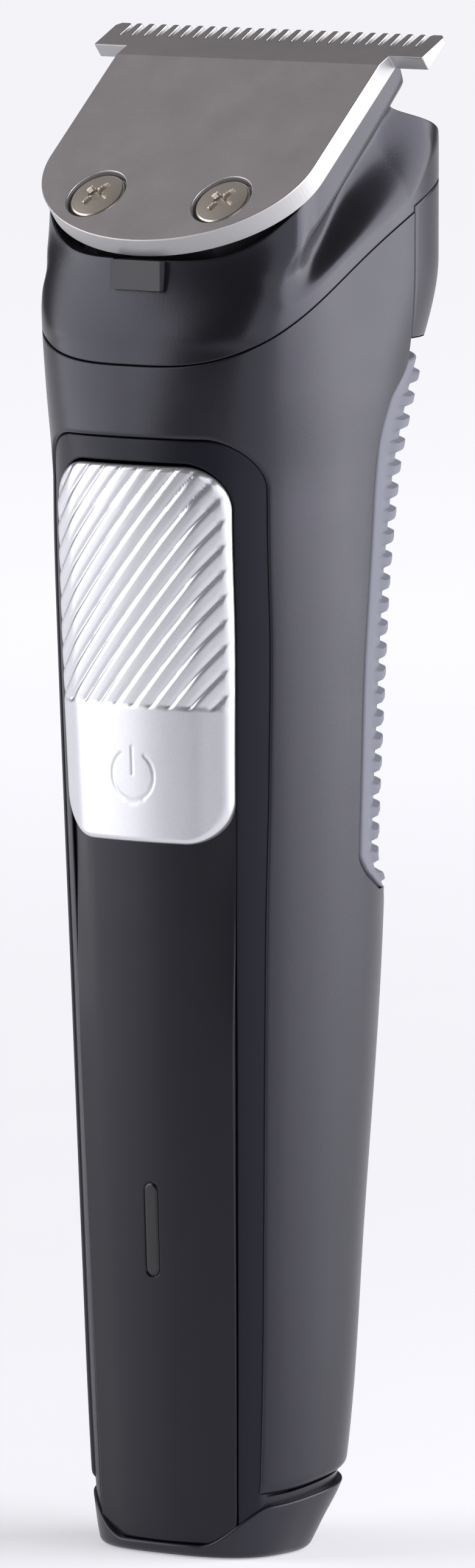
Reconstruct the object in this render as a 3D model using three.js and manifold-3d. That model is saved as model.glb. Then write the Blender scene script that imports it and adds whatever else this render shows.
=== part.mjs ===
// Beard trimmer with a detachable T-blade head, built as an assembly of separate pieces.
// Units are millimetres. +X is to the user's right, -Y is the front and +Z points from base to blade.
// While it is modelled, y = 0 lies near the front of the head; the last step centres the whole trimmer.
import * as THREE from 'three';
import { mergeVertices } from 'three/addons/utils/BufferGeometryUtils.js';
import Module from 'manifold-3d';

const wasm = await Module();
wasm.setup();

// ---------------------------------------------------------------- driving dimensions

const bodyHalfWidth = 16.6; // widest, at the head
const seamHeight = 122.0; // where the head's seam would cross y = 0

// Outline of the closed body: height, how much narrower than the widest half, front, back, squareness.
const stations = [
  [0, 6.0, 3.7, 19.2, 2.8],
  [2.5, 5.1, 3.3, 21.0, 2.6],
  [8, 3.7, 3.05, 24.6, 2.5],
  [33, 2.6, 1.85, 27.2, 2.5],
  [seamHeight - 55, 1.4, 0.25, 30.0, 2.5],
  [seamHeight - 26, 0.7, -1.1, 30.3, 2.5],
  [seamHeight - 14, 0.5, -1.6, 31.6, 2.5],
  [seamHeight - 3, 0.2, -1.4, 33.2, 3.0],
  [seamHeight + 9, 0, -0.2, 35.4, 4.0],
  [seamHeight + 30, 0, -0.2, 35.4, 4.0],
];
const sectionPoints = 32;

const gap = 0.3; // clearance between neighbouring pieces that don't move
const slideGap = 0.3; // clearance beside pieces that slide or turn
const reach = 60; // how far a cutting prism runs past the body

// Housing
const wall = 1.8;
const innerSkin = 1.5; // wall under the grip and under the front channel
const gripThickness = 1.8;
const skirtHeight = 5.6; // lower edge of the shells at the front
const skirtRise = 0.13; // and how it climbs towards the back
const partingDepth = 24.5; // front and rear shells meet here below the heel
const seamSlope = 0.69;
const seamSag = 0.0055;
const rearStripRise = 2.3; // the rear shell stands this much higher than the seam
const rearStripFront = 27.8;
const gripHeight = 56;
const bandBelowGrip = 4.4; // full wall of the rear shell under the grip's lower edge
const bandAboveGrip = 3.6; // and over its upper edge
const bandOverlap = 5.6; // how far the two bands run in behind the grip

// Front channel, bezel, panel and switch
const channelHalfWidth = bodyHalfWidth - 3.2;
const channelTop = seamHeight - 8;
const channelCorner = 5;
const channelDepth = 2.3;
const bezelSink = 0.3;
const panelSink = 0.8;
const bezelWidth = 2.7;
const sliderTop = channelTop - 2.8;
const sliderBottom = sliderTop - 38.2;
const sliderCornerTop = 3.4;
const sliderCornerBottom = 4.5;
const sliderProud = 0.5;
const sliderThickness = 1.0;
const switchTravel = 3;
const stemHalfWidth = 3;
const carriageHalfWidth = 5;
const stemHeight = 6.4;
const lensHalfWidth = 0.8;
const lensBottom = 28.6;
const lensTop = 38.1;

// Blade
const bladeAngle = THREE.MathUtils.degToRad(40.9);
const bevelAngle = THREE.MathUtils.degToRad(15);
const bladeFront = -1.1;
const bladeFrontHeight = seamHeight + 11.75;
const bladeHalfWidth = 16.4;
const bladeNose = 11.5; // length of the rounded front end
const bladeLength = 26.3; // front end to fold
const bladeThickness = 2.0;
const barHalfLength = 20.5;
const barStart = 28.1;
const barEnd = 32.6;
const toothLength = 2.0;
const toothPitch = 1.54;
const fixedTeeth = 24;
const screwHalfSpacing = 7.8;
const screwPlace = 6.3; // from the front end of the blade
const screwHeadRadius = 3.0;
const screwShankRadius = 1.4;
const screwTop = -0.15; // top of the screw heads against the blade's top face
const crossReach = 1.5; // arms of the cross in the screw heads
const crossHalfWidth = 0.35;
const crossDepth = 0.45;
const sinkDepth = 1.1; // how deep the screw heads sit in the blade
const cutterThickness = 1.4;
const cutterStart = 21.8;
const cutterSetback = 0.8; // cutter's tips behind the comb's tips
const cutterTeeth = 17;
const cutterMargin = 0.6; // plain metal beside the outer teeth of the cutter
const cutterHalfWidth = (cutterTeeth * toothPitch) / 2 + cutterMargin;
const cutterStroke = 0.9;
const carrierHalfWidth = 13.0;
const carrierThickness = 2.6;
const carrierStart = 2.2;
const carrierEnd = 20.3;
const tabHalfWidth = 3.1;
const tabBottom = seamHeight + 6.7;
const tabTop = tabBottom + 3;
const tabFront = -0.4;

// Head body
const pedestalHalfWidth = bodyHalfWidth - 0.5;
const cavityHalfWidth = 8.6;
const cavityFront = 8.5;
const cavityBack = 24.5;
const fluteFront = 5; // the curved hollow down each side starts here
const fluteBack = 30.5; // and ends short of the back, which leaves a flange
const fluteDepth = 4.2;
const notchGap = 0.6; // beside the front tab

// Drive
const axisDepth = 15.3; // motor axis
const motorRadius = 10;
const motorBottom = seamHeight - 36;
const motorLength = 22;
const endBellLength = 2.1;
const shaftRadius = 1.0;
const shaftBottom = motorBottom - 1.4;
const hubRadius = 4;
const hubBottom = motorBottom + motorLength + 5.6;
const hubHeight = 5;
const hubBore = 3.6; // how far the shaft goes into the hub
const pinThrow = 1.0;
const pinRadius = 1.0;
const pinTop = seamHeight + 14.6;
const pinSocket = 2.2; // height of the collar round the pin
const pinCollarRadius = 2.2;
const pinSink = 1; // how far the pin goes into the hub
const yokeWall = 1.6;
const yokeHeight = 2.8; // how far the yoke reaches down past the pin's tip
const springThickness = 0.8;
const springHalfSpan = 6.3;
const springArmWidth = 1;
const springEnd = 24.5;
const reliefStart = 13; // opening in the carrier behind the screws
const reliefHalfWidth = 7;

// Battery and electronics
const cellRadius = 7;
const cellBottom = 17;
const cellLength = 49.5;
const cellTipRadius = 2.6;
const cellTipHeight = 0.9;
const tabThickness = 0.4;
const boardFront = channelDepth + innerSkin + 3.9;
const boardThickness = 1.0;
const cellDepth = boardFront + boardThickness + 0.7 + cellRadius;
const boardHalfWidth = 5;
const boardBottom = 3.6;
const boardTop = motorBottom - 2.8;
const socketHalfWidth = 3.9;
const socketDepth = 3.0;
const socketBottom = 0.4;
const socketHeight = 6.2;
const socketShell = 0.35;
const baseFloor = 2.2;
const baseWall = 2.0;
const baseScrewX = 6.4;
const baseScrewDepth = 14.6;
const baseScrewHeadRadius = 2.1;
const baseScrewShankRadius = 1.0;
const baseScrewBottom = 0.4;
const baseScrewHeadHeight = 1.2;
const recessHalfWidth = 0.3; // arms of the cross in the base screws

// Internal frame
const frameBottom = 13.2;
const framePlate = 2.0;
const lowerRail = cellRadius + 0.9; // inner side of the rails beside the cell
const upperRail = motorRadius + 0.6; // inner side of the rails beside the motor
const lowerEdge = bodyHalfWidth - 7.3; // outer side of the rails beside the cell
const upperEdge = bodyHalfWidth - 4.6; // outer side of the rails beside the motor
const railFront = 11;
const railBack = 19;
const frameInset = channelDepth + innerSkin + gap; // keeps the frame inside the shells
const motorSeat = motorBottom - gap - endBellLength - gap - framePlate;
const collarPlate = motorBottom + motorLength + gap;
const motorBossRadius = 3;
const motorBossHeight = 1.2;
const leadRadius = 0.45;
const leadOffset = 3.2;
const neckRadius = 7; // collar round the shaft
const neckBore = 5.2;
const sealRadius = 8.6;

// ---------------------------------------------------------------- materials

function finish(colour, roughness, metalness) {
  return new THREE.MeshStandardMaterial({ color: colour, roughness, metalness });
}

const satinBlack = finish(0x2c2c31, 0.45, 0);
const glossBlack = finish(0x1b1b1f, 0.25, 0);
const greyRubber = finish(0x82848f, 0.8, 0);
const silverPaint = finish(0xd8d8de, 0.35, 0.5);
const brushedSteel = finish(0x8a8988, 0.35, 1);
const screwSteel = finish(0xa39d94, 0.3, 1);
const innerPlastic = finish(0x4a4a50, 0.6, 0);
const whitePlastic = finish(0xe6e4dd, 0.5, 0);
const boardGreen = finish(0x1f5c39, 0.5, 0);
const copper = finish(0xb8733a, 0.35, 1);
const cellSleeve = finish(0x2f6fb0, 0.5, 0);
const smokedLens = finish(0x141518, 0.15, 0);
const redWire = finish(0xa8201c, 0.5, 0);
const blackWire = finish(0x151515, 0.5, 0);

// ---------------------------------------------------------------- solids from geometry

/** Closed manifold solid of a three.js geometry, turned right side out where it has to be. */
function solid(geometry) {
  const plain = new THREE.BufferGeometry();
  plain.setAttribute('position', geometry.getAttribute('position').clone());
  if (geometry.index) plain.setIndex(geometry.index.clone());
  const merged = mergeVertices(plain, 1e-5);
  const points = merged.getAttribute('position').array;
  const corners = [];
  let volume = 0;
  const a = new THREE.Vector3();
  const b = new THREE.Vector3();
  const c = new THREE.Vector3();
  for (let i = 0; i < merged.index.count; i += 3) {
    const [p, q, r] = [0, 1, 2].map((k) => merged.index.getX(i + k));
    if (p === q || q === r || r === p) continue;
    corners.push(p, q, r);
    volume += a.fromArray(points, 3 * p).dot(b.fromArray(points, 3 * q).cross(c.fromArray(points, 3 * r)));
  }
  if (volume < 0) corners.reverse();
  return new wasm.Manifold(new wasm.Mesh({
    numProp: 3,
    vertProperties: new Float32Array(points),
    triVerts: new Uint32Array(corners),
  }));
}

/** Vectors for an outline given as pairs. */
function outline(pairs) {
  return new THREE.Shape(pairs.map(([x, y]) => new THREE.Vector2(x, y)));
}

/** Prism of a flat outline: u and v give the outline's two directions, and from/to run along u x v. */
function prism(shape, u, v, from, to, origin = new THREE.Vector3()) {
  const geometry = new THREE.ExtrudeGeometry(shape, { depth: to - from, bevelEnabled: false, curveSegments: 5 });
  const w = new THREE.Vector3().crossVectors(u, v);
  const frame = new THREE.Matrix4().makeBasis(u, v, w);
  frame.setPosition(origin.clone().addScaledVector(w, from));
  return solid(geometry.applyMatrix4(frame));
}

const axisX = new THREE.Vector3(1, 0, 0);
const axisY = new THREE.Vector3(0, 1, 0);
const axisZ = new THREE.Vector3(0, 0, 1);

/** Prism of a side outline (y, z) running from x0 to x1. */
function sidePrism(shape, x0, x1) {
  return prism(shape, axisY, axisZ, x0, x1);
}

/** Prism of a front outline (x, z) running from y0 to y1. */
function frontPrism(shape, y0, y1) {
  return prism(shape, axisX, axisZ, -y1, -y0);
}

const bladeOrigin = new THREE.Vector3(0, bladeFront, bladeFrontHeight);
const bladeAlong = new THREE.Vector3(0, Math.cos(bladeAngle), Math.sin(bladeAngle));

/** Prism of an outline (x, distance along the blade) between two heights over the blade's top face. */
function bladePrism(shape, low, high) {
  return prism(shape, axisX, bladeAlong, low, high, bladeOrigin);
}

/** Block between two corners. */
function block(x0, x1, y0, y1, z0, z1) {
  const geometry = new THREE.BoxGeometry(x1 - x0, y1 - y0, z1 - z0);
  geometry.translate((x0 + x1) / 2, (y0 + y1) / 2, (z0 + z1) / 2);
  return solid(geometry);
}

/** Upright round rod. */
function rod(radius, x, y, z0, z1, sides = 16) {
  const geometry = new THREE.CylinderGeometry(radius, radius, z1 - z0, sides);
  geometry.rotateX(Math.PI / 2);
  geometry.translate(x, y, (z0 + z1) / 2);
  return solid(geometry);
}

/** Round rod standing square on the blade's top face. */
function bladeRod(radius, x, along, low, high, sides = 16) {
  const geometry = new THREE.CylinderGeometry(radius, radius, high - low, sides);
  geometry.rotateX(Math.PI / 2 + bladeAngle);
  const normal = new THREE.Vector3().crossVectors(axisX, bladeAlong);
  const centre = bladeOrigin.clone().addScaledVector(bladeAlong, along);
  centre.addScaledVector(normal, (low + high) / 2).addScaledVector(axisX, x);
  geometry.translate(centre.x, centre.y, centre.z);
  return solid(geometry);
}

// ---------------------------------------------------------------- body outline

/** Smooth value of one station column at a height: a cubic whose slopes never overshoot the stations. */
function stationValue(height, column) {
  const last = stations.length - 1;
  const z = THREE.MathUtils.clamp(height, stations[0][0], stations[last][0]);
  let i = 0;
  while (i < last - 1 && stations[i + 1][0] < z) i += 1;
  const rise = (k) => (stations[k + 1][column] - stations[k][column]) / (stations[k + 1][0] - stations[k][0]);
  const slope = (k) => {
    if (k === 0) return rise(0);
    if (k === last) return rise(last - 1);
    const before = rise(k - 1);
    const after = rise(k);
    return before * after <= 0 ? 0 : (2 * before * after) / (before + after);
  };
  const span = stations[i + 1][0] - stations[i][0];
  const t = (z - stations[i][0]) / span;
  return (2 * t ** 3 - 3 * t ** 2 + 1) * stations[i][column] + (t ** 3 - 2 * t ** 2 + t) * span * slope(i)
    + (3 * t ** 2 - 2 * t ** 3) * stations[i + 1][column] + (t ** 3 - t ** 2) * span * slope(i + 1);
}

/** Rounded section of the body at a height, drawn in by an inset. */
function sectionRing(height, inset) {
  const halfWidth = bodyHalfWidth - stationValue(height, 1) - inset;
  const front = stationValue(height, 2) + inset;
  const back = stationValue(height, 3) - inset;
  const power = 2 / stationValue(height, 4);
  const ring = [];
  for (let k = 0; k < sectionPoints; k += 1) {
    const angle = (2 * Math.PI * (k + 0.5)) / sectionPoints;
    const c = Math.cos(angle);
    const s = Math.sin(angle);
    const x = halfWidth * Math.sign(c) * Math.abs(c) ** power;
    const y = (front + back) / 2 + ((back - front) / 2) * Math.sign(s) * Math.abs(s) ** power;
    ring.push([x, y, height]);
  }
  return ring;
}

/** Closed solid through rings that all have the same number of points. */
function loft(rings) {
  const count = rings[0].length;
  const points = rings.flat();
  const corners = [];
  for (let i = 0; i < rings.length - 1; i += 1) {
    for (let k = 0; k < count; k += 1) {
      const next = (k + 1) % count;
      const [a, b] = [i * count + k, i * count + next];
      corners.push(a, b, b + count, a, b + count, a + count);
    }
  }
  for (let k = 1; k < count - 1; k += 1) {
    const top = (rings.length - 1) * count;
    corners.push(0, k + 1, k, top, top + k, top + k + 1);
  }
  const geometry = new THREE.BufferGeometry();
  geometry.setAttribute('position', new THREE.Float32BufferAttribute(points.flat(), 3));
  geometry.setIndex(corners);
  return solid(geometry);
}

const bodyHeights = [...stations.map((row) => row[0]), 5, 20, 50, seamHeight - 40, seamHeight - 8, seamHeight + 3]
  .sort((a, b) => a - b);

/** Body solid drawn in by an inset. */
function body(inset) {
  return loft(bodyHeights.map((z) => sectionRing(z, inset)));
}

/** Body drawn in by an inset and run out past both ends, for hollowing. */
function core(inset) {
  const rings = bodyHeights.map((z) => sectionRing(z, inset));
  const shift = (ring, dz) => ring.map(([x, y, z]) => [x, y, z + dz]);
  return loft([shift(rings[0], -5), ...rings, shift(rings[rings.length - 1], 5)]);
}

/** Skin of the body between two insets. */
function skin(outer, inner) {
  return body(outer).subtract(core(inner));
}

const seamAt = (y) => seamHeight + seamSlope * y - seamSag * y * y;
const skirtAt = (y) => skirtHeight + skirtRise * y;

/** Points of the seam from front to back, lifted by an amount. */
function seamLine(from, to, lift, steps = 8) {
  return Array.from({ length: steps + 1 }, (_, i) => {
    const y = from + ((to - from) * i) / steps;
    return [y, seamAt(y) + lift];
  });
}

/** Everything below the seam, as a side prism. */
function belowSeam(lift) {
  const line = seamLine(-8, 45, lift, 12);
  return sidePrism(outline([[45, -10], ...line.reverse(), [-8, -10]]), -reach / 2, reach / 2);
}

/** Everything below the skirt edge, as a side prism. */
function belowSkirt(lift) {
  const corners = [[-8, -10], [45, -10], [45, skirtAt(45) + lift], [-8, skirtAt(-8) + lift]];
  return sidePrism(outline(corners), -reach / 2, reach / 2);
}

const gripBottom = seamHeight - 55.6;

// Edge of the front shell seen from the side: depth, and height over the grip's lower end.
const gripEdge = [[partingDepth, 0], [22, 0.8], [20, 1.8], [18.4, 2.8], [17.1, 4.6], [17.2, 20.1], [18.3, 35.6],
  [19.1, 45.4], [21.2, 50.5], [24.8, 54.4], [rearStripFront, 57]].map(([y, z]) => [y, gripBottom + z]);

/** Region in front of the parting line, drawn back by an amount. */
function frontRegion(back) {
  const edge = gripEdge.map(([y, z]) => [y - back, z]);
  const corners = [[-8, -10], [partingDepth - back, -10], ...edge, [rearStripFront - back, seamHeight + 40],
    [-8, seamHeight + 40]];
  return sidePrism(outline(corners), -reach / 2, reach / 2);
}

/** Region of the rubber grip, moved back from the parting line by an amount. */
function gripRegion(back) {
  const lift = back;
  const low = [[50, gripBottom + lift], [partingDepth + back, gripBottom + lift]];
  const edge = gripEdge.slice(1, 10).map(([y, z], i) => [y + back, z + (i < 3 ? lift : 0)]);
  return sidePrism(outline([...low, ...edge, [50, gripBottom + gripHeight]]), -reach / 2, reach / 2);
}

/** Upright outline with rounded upper and lower corners, as half width, bottom, top and the two radii. */
function roundedOutline(halfWidth, bottom, top, lowRadius, highRadius) {
  const shape = new THREE.Shape();
  shape.moveTo(-halfWidth + lowRadius, bottom);
  shape.lineTo(halfWidth - lowRadius, bottom);
  if (lowRadius > 0) shape.absarc(halfWidth - lowRadius, bottom + lowRadius, lowRadius, -Math.PI / 2, 0);
  shape.lineTo(halfWidth, top - highRadius);
  shape.absarc(halfWidth - highRadius, top - highRadius, highRadius, 0, Math.PI / 2);
  shape.lineTo(-halfWidth + highRadius, top);
  shape.absarc(-halfWidth + highRadius, top - highRadius, highRadius, Math.PI / 2, Math.PI);
  shape.lineTo(-halfWidth, bottom + lowRadius);
  if (lowRadius > 0) shape.absarc(-halfWidth + lowRadius, bottom + lowRadius, lowRadius, Math.PI, 1.5 * Math.PI);
  return shape;
}

const channelBack = 12; // how deep the prisms for the front channel reach

/** Prism of the arch-topped channel, drawn in by an amount. */
function archPrism(shrink) {
  const shape = roundedOutline(channelHalfWidth - shrink, -10, channelTop - shrink, 0, channelCorner - shrink);
  return frontPrism(shape, -10, channelBack);
}

// ---------------------------------------------------------------- handle shells

const stemBottom = sliderBottom + switchTravel;
const windowHalfWidth = channelHalfWidth - bezelWidth;
const sliderHalfWidth = windowHalfWidth - slideGap;
const carriageTop = sliderTop - 4;

function frontHousing() {
  const rim = skin(0, channelDepth + innerSkin).intersect(archPrism(-1.6));
  const pocket = archPrism(0).subtract(core(channelDepth));
  const slot = block(-stemHalfWidth - slideGap - gap, stemHalfWidth + slideGap + gap, -10, channelBack,
    stemBottom - switchTravel - gap, stemBottom + stemHeight + gap);
  const window = block(-lensHalfWidth - gap, lensHalfWidth + gap, -10, channelBack,
    lensBottom - gap, lensTop + gap);
  return skin(0, wall).add(rim).intersect(frontRegion(0)).intersect(belowSeam(0)).subtract(belowSkirt(0))
    .subtract(pocket).subtract(slot).subtract(window);
}

function rearHousing() {
  const behind = body(-1).subtract(frontRegion(-gap));
  const outside = skin(0, wall).intersect(behind).subtract(gripRegion(-0.01));
  const underGrip = skin(gripThickness + gap, gripThickness + gap + innerSkin).intersect(gripRegion(gap));
  const depth = gripThickness + gap + innerSkin;
  const gripTop = gripBottom + gripHeight;
  const band = (outer, front, low, high) => skin(outer, depth)
    .intersect(block(-reach, reach, front, reach, low, high));
  const lowFront = partingDepth + gap;
  const highFront = rearStripFront + gap;
  const lowBand = band(0, lowFront, gripBottom - bandBelowGrip, gripBottom)
    .add(band(gripThickness + gap, lowFront, gripBottom - bandBelowGrip / 2, gripBottom + bandOverlap));
  const topBand = band(0, highFront, gripTop + 2 * gap, gripTop + bandAboveGrip)
    .add(band(gripThickness + gap, highFront, gripTop - bandOverlap, gripTop + bandAboveGrip / 2));
  return outside.add(underGrip).add(lowBand).add(topBand)
    .intersect(belowSeam(rearStripRise)).subtract(belowSkirt(0));
}

function gripPad() {
  return skin(0, gripThickness).intersect(gripRegion(gap));
}

function frontBezel() {
  const shape = roundedOutline(windowHalfWidth, -11, sliderTop + slideGap, 0, sliderCornerTop + slideGap);
  return skin(bezelSink, channelDepth - gap).intersect(archPrism(gap)).subtract(frontPrism(shape, -10, channelBack))
    .subtract(belowSkirt(0));
}

function frontPanel() {
  const shape = roundedOutline(windowHalfWidth - gap, -10, sliderTop, 0, sliderCornerTop);
  const opening = block(-carriageHalfWidth - slideGap, carriageHalfWidth + slideGap, -10, channelBack,
    stemBottom - switchTravel - gap, carriageTop + gap);
  const lens = block(-lensHalfWidth - gap, lensHalfWidth + gap, -10, channelBack, lensBottom - gap, lensTop + gap);
  return skin(panelSink, channelDepth - gap).intersect(frontPrism(shape, -10, channelBack))
    .subtract(belowSkirt(0)).subtract(lens).subtract(opening);
}

function indicatorLens() {
  const shape = roundedOutline(lensHalfWidth, lensBottom, lensTop, lensHalfWidth * 0.9, lensHalfWidth * 0.9);
  return skin(panelSink, channelDepth + innerSkin - 0.2).intersect(frontPrism(shape, -10, channelBack));
}

function baseCap() {
  const cup = body(0).intersect(belowSkirt(-gap)).subtract(core(baseWall).intersect(
    block(-reach, reach, -10, reach, baseFloor, 20)));
  const bosses = [-1, 1].map((side) => rod(baseScrewHeadRadius + 1.2, side * baseScrewX, baseScrewDepth, 0.5, 5.6));
  let cap = cup.add(bosses[0]).add(bosses[1]);
  for (const side of [-1, 1]) {
    const x = side * baseScrewX;
    cap = cap.subtract(rod(baseScrewHeadRadius + gap, x, baseScrewDepth, -1, 1.9));
    cap = cap.subtract(rod(baseScrewShankRadius + gap, x, baseScrewDepth, -1, 12));
  }
  const opening = block(-socketHalfWidth - gap, socketHalfWidth + gap, boardFront + boardThickness,
    boardFront + boardThickness + socketDepth + 2 * gap, -1, baseFloor + 1);
  return cap.subtract(opening);
}

function baseScrew(side) {
  const x = side * baseScrewX;
  const headTopZ = baseScrewBottom + baseScrewHeadHeight;
  const head = rod(baseScrewHeadRadius, x, baseScrewDepth, baseScrewBottom, headTopZ);
  const arm = (a, b) => block(x - a, x + a, baseScrewDepth - b, baseScrewDepth + b, -1, headTopZ - 2 * gap);
  const armReach = baseScrewHeadRadius - 0.8;
  const cross = arm(armReach, recessHalfWidth).add(arm(recessHalfWidth, armReach));
  const shank = rod(baseScrewShankRadius, x, baseScrewDepth, headTopZ - 0.1, frameBottom - 2 * gap);
  return head.add(shank).subtract(cross);
}

// ---------------------------------------------------------------- electronics and battery

const boardBack = boardFront + boardThickness;

function circuitBoard() {
  return block(-boardHalfWidth, boardHalfWidth, boardFront, boardBack, boardBottom, boardTop);
}

function chargeSocket() {
  const front = boardBack + gap;
  const outer = block(-socketHalfWidth, socketHalfWidth, front, front + socketDepth, socketBottom,
    socketBottom + socketHeight);
  const inside = block(-socketHalfWidth + socketShell, socketHalfWidth - socketShell, front + socketShell,
    front + socketDepth - socketShell, -1, socketBottom + socketHeight - socketShell);
  return outer.subtract(inside);
}

function socketTongue() {
  const middle = boardBack + gap + socketDepth / 2;
  return block(-2.6, 2.6, middle - 0.35, middle + 0.35, socketBottom + 1.2,
    socketBottom + socketHeight - socketShell - 0.3);
}

function chargeChip() {
  return block(-2.2, 2.2, boardFront - gap - 0.9, boardFront - gap, lensTop + 12, lensTop + 17);
}

function indicatorLed() {
  const middle = (lensBottom + lensTop) / 2;
  return block(-0.9, 0.9, boardFront - gap - 0.8, boardFront - gap, middle - 1.5, middle + 1.5);
}

const knobMiddle = stemBottom + stemHeight / 2;

function slideSwitchBody() {
  const front = boardFront - gap - 1.5;
  const shell = block(-2.2, 2.2, front, boardFront - gap, knobMiddle - switchTravel - 2, knobMiddle + 2);
  const guide = block(-1.3, 1.3, front - 1, front + 0.8, knobMiddle - switchTravel - 1.2, knobMiddle + 1.2);
  return shell.subtract(guide);
}

function batteryCell() {
  const tip = cellBottom + cellLength;
  return rod(cellRadius, 0, cellDepth, cellBottom, tip, 24)
    .add(rod(cellTipRadius, 0, cellDepth, tip - 0.1, tip + cellTipHeight));
}

function batteryTab(top) {
  const z = top ? cellBottom + cellLength + cellTipHeight + gap : cellBottom - gap - tabThickness;
  const front = boardBack + gap;
  const strip = block(-2, 2, front, cellDepth + 3, z, z + tabThickness);
  const foot = block(-2, 2, front, front + tabThickness, top ? z : z - 2, top ? z + 2 : z + tabThickness);
  return strip.add(foot);
}

// ---------------------------------------------------------------- frame, motor and drive

function chassis() {
  const front = boardBack + 1.2;
  const floor = block(-lowerEdge, lowerEdge, front, cellDepth + 5.4, frameBottom, frameBottom + framePlate)
    .subtract(block(-2.5, 2.5, front - 1, cellDepth + 3.4, frameBottom - 1, frameBottom + framePlate + 1));
  const seat = block(-upperEdge, upperEdge, front, railBack + 3, motorSeat, motorSeat + framePlate);
  const collar = block(-upperEdge, upperEdge, railFront - 4, railBack + 3, collarPlate, collarPlate + framePlate);
  let frame = floor.add(seat).add(collar);
  for (const side of [-1, 1]) {
    const inner = [side * lowerRail, side * lowerEdge].sort((a, b) => a - b);
    const outer = [side * upperRail, side * upperEdge].sort((a, b) => a - b);
    frame = frame.add(block(inner[0], inner[1], railFront, railBack, frameBottom, motorSeat + framePlate));
    frame = frame.add(block(outer[0], outer[1], railFront, railBack, motorSeat, collarPlate + framePlate));
    frame = frame.add(rod(2.3, side * baseScrewX, baseScrewDepth, 6.0, frameBottom + 0.5));
    frame = frame.subtract(rod(baseScrewShankRadius + gap, side * baseScrewX, baseScrewDepth,
      5, frameBottom - 0.2));
  }
  const shaftHole = rod(motorBossRadius + gap, 0, axisDepth, collarPlate - 1, collarPlate + framePlate + 1);
  return frame.intersect(body(frameInset)).subtract(shaftHole);
}

function tube(outer, inner, z0, z1, sides = 24) {
  return rod(outer, 0, axisDepth, z0, z1, sides).subtract(rod(inner, 0, axisDepth, z0 - 1, z1 + 1));
}

function motorCan() {
  const top = motorBottom + motorLength;
  return tube(motorRadius, shaftRadius + slideGap, motorBottom, top).add(
    tube(motorBossRadius, shaftRadius + slideGap, top - 0.1, top + motorBossHeight));
}

function motorEndBell() {
  const top = motorBottom - gap;
  const bell = rod(motorRadius - 0.6, 0, axisDepth, top - endBellLength, top, 24);
  return bell.subtract(rod(shaftRadius + slideGap, 0, axisDepth, shaftBottom - slideGap, top + 1));
}

function motorLead(side) {
  const x = side * leadOffset;
  const y = boardBack + gap + leadRadius + 0.05;
  const route = new THREE.CatmullRomCurve3([
    new THREE.Vector3(x, y, motorSeat - 10.4), new THREE.Vector3(x, y, motorSeat - 6),
    new THREE.Vector3(x, y, motorSeat - 2)]);
  const section = new THREE.Shape().absarc(0, 0, leadRadius, 0, 2 * Math.PI);
  return solid(new THREE.ExtrudeGeometry(section, { steps: 6, extrudePath: route, curveSegments: 4 }));
}

function motorShaft() {
  return rod(shaftRadius, 0, axisDepth, shaftBottom, hubBottom + hubBore - gap);
}

const hubTop = hubBottom + hubHeight;

function eccentricHub() {
  const hub = rod(hubRadius, 0, axisDepth, hubBottom, hubTop, 24);
  return hub.subtract(rod(shaftRadius + gap, 0, axisDepth, hubBottom - 1, hubBottom + hubBore))
    .add(rod(pinCollarRadius, 0, axisDepth + pinThrow, hubTop - 0.1, hubTop + pinSocket))
    .subtract(rod(pinRadius + gap / 3, 0, axisDepth + pinThrow, hubTop - pinSink, hubTop + pinSocket + 1));
}

function drivePin() {
  return rod(pinRadius, 0, axisDepth + pinThrow, hubTop - pinSink + gap, pinTop);
}

function neckCollar() {
  const inside = body(wall + gap);
  const plate = inside.intersect(belowSeam(-1.2)).subtract(belowSeam(-3.2));
  const boss = rod(neckRadius, 0, axisDepth, seamHeight + 3, seamHeight + 18, 24).intersect(belowSeam(0.2));
  return plate.add(boss).subtract(rod(neckBore, 0, axisDepth, seamHeight - 12, seamHeight + 23));
}

function neckSeal() {
  const ring = rod(sealRadius, 0, axisDepth, seamHeight - 12, seamHeight + 23, 24)
    .subtract(rod(neckRadius + gap, 0, axisDepth, seamHeight - 22, seamHeight + 28, 24));
  return ring.intersect(belowSeam(-0.1)).subtract(belowSeam(-0.9));
}

// ---------------------------------------------------------------- switch

function switchSlider() {
  const shape = roundedOutline(sliderHalfWidth, sliderBottom, sliderTop, sliderCornerBottom, sliderCornerTop);
  return skin(-sliderProud, sliderThickness - sliderProud).intersect(frontPrism(shape, -10, channelBack));
}

function switchCarriage() {
  const outer = sliderThickness - sliderProud + gap;
  const shape = roundedOutline(carriageHalfWidth, stemBottom, carriageTop, 0.8, 0.8);
  const plate = skin(outer, channelDepth - slideGap).intersect(frontPrism(shape, -10, channelBack));
  const front = stationValue(knobMiddle, 2) + outer + 0.4;
  const back = boardFront - gap - 1.5 - slideGap;
  const stem = block(-stemHalfWidth, stemHalfWidth, front, back, stemBottom, stemBottom + stemHeight);
  const fork = block(-1.3, 1.3, back - 1.2, back + 1, knobMiddle - 1.2, knobMiddle + 1.2);
  return plate.add(stem).subtract(fork);
}

function slideSwitchKnob() {
  const back = boardFront - gap - 1.5 - slideGap;
  return block(-1, 1, back - 0.9, back + slideGap + 0.5, knobMiddle - 0.9, knobMiddle + 0.9);
}

// ---------------------------------------------------------------- head and blade

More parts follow.
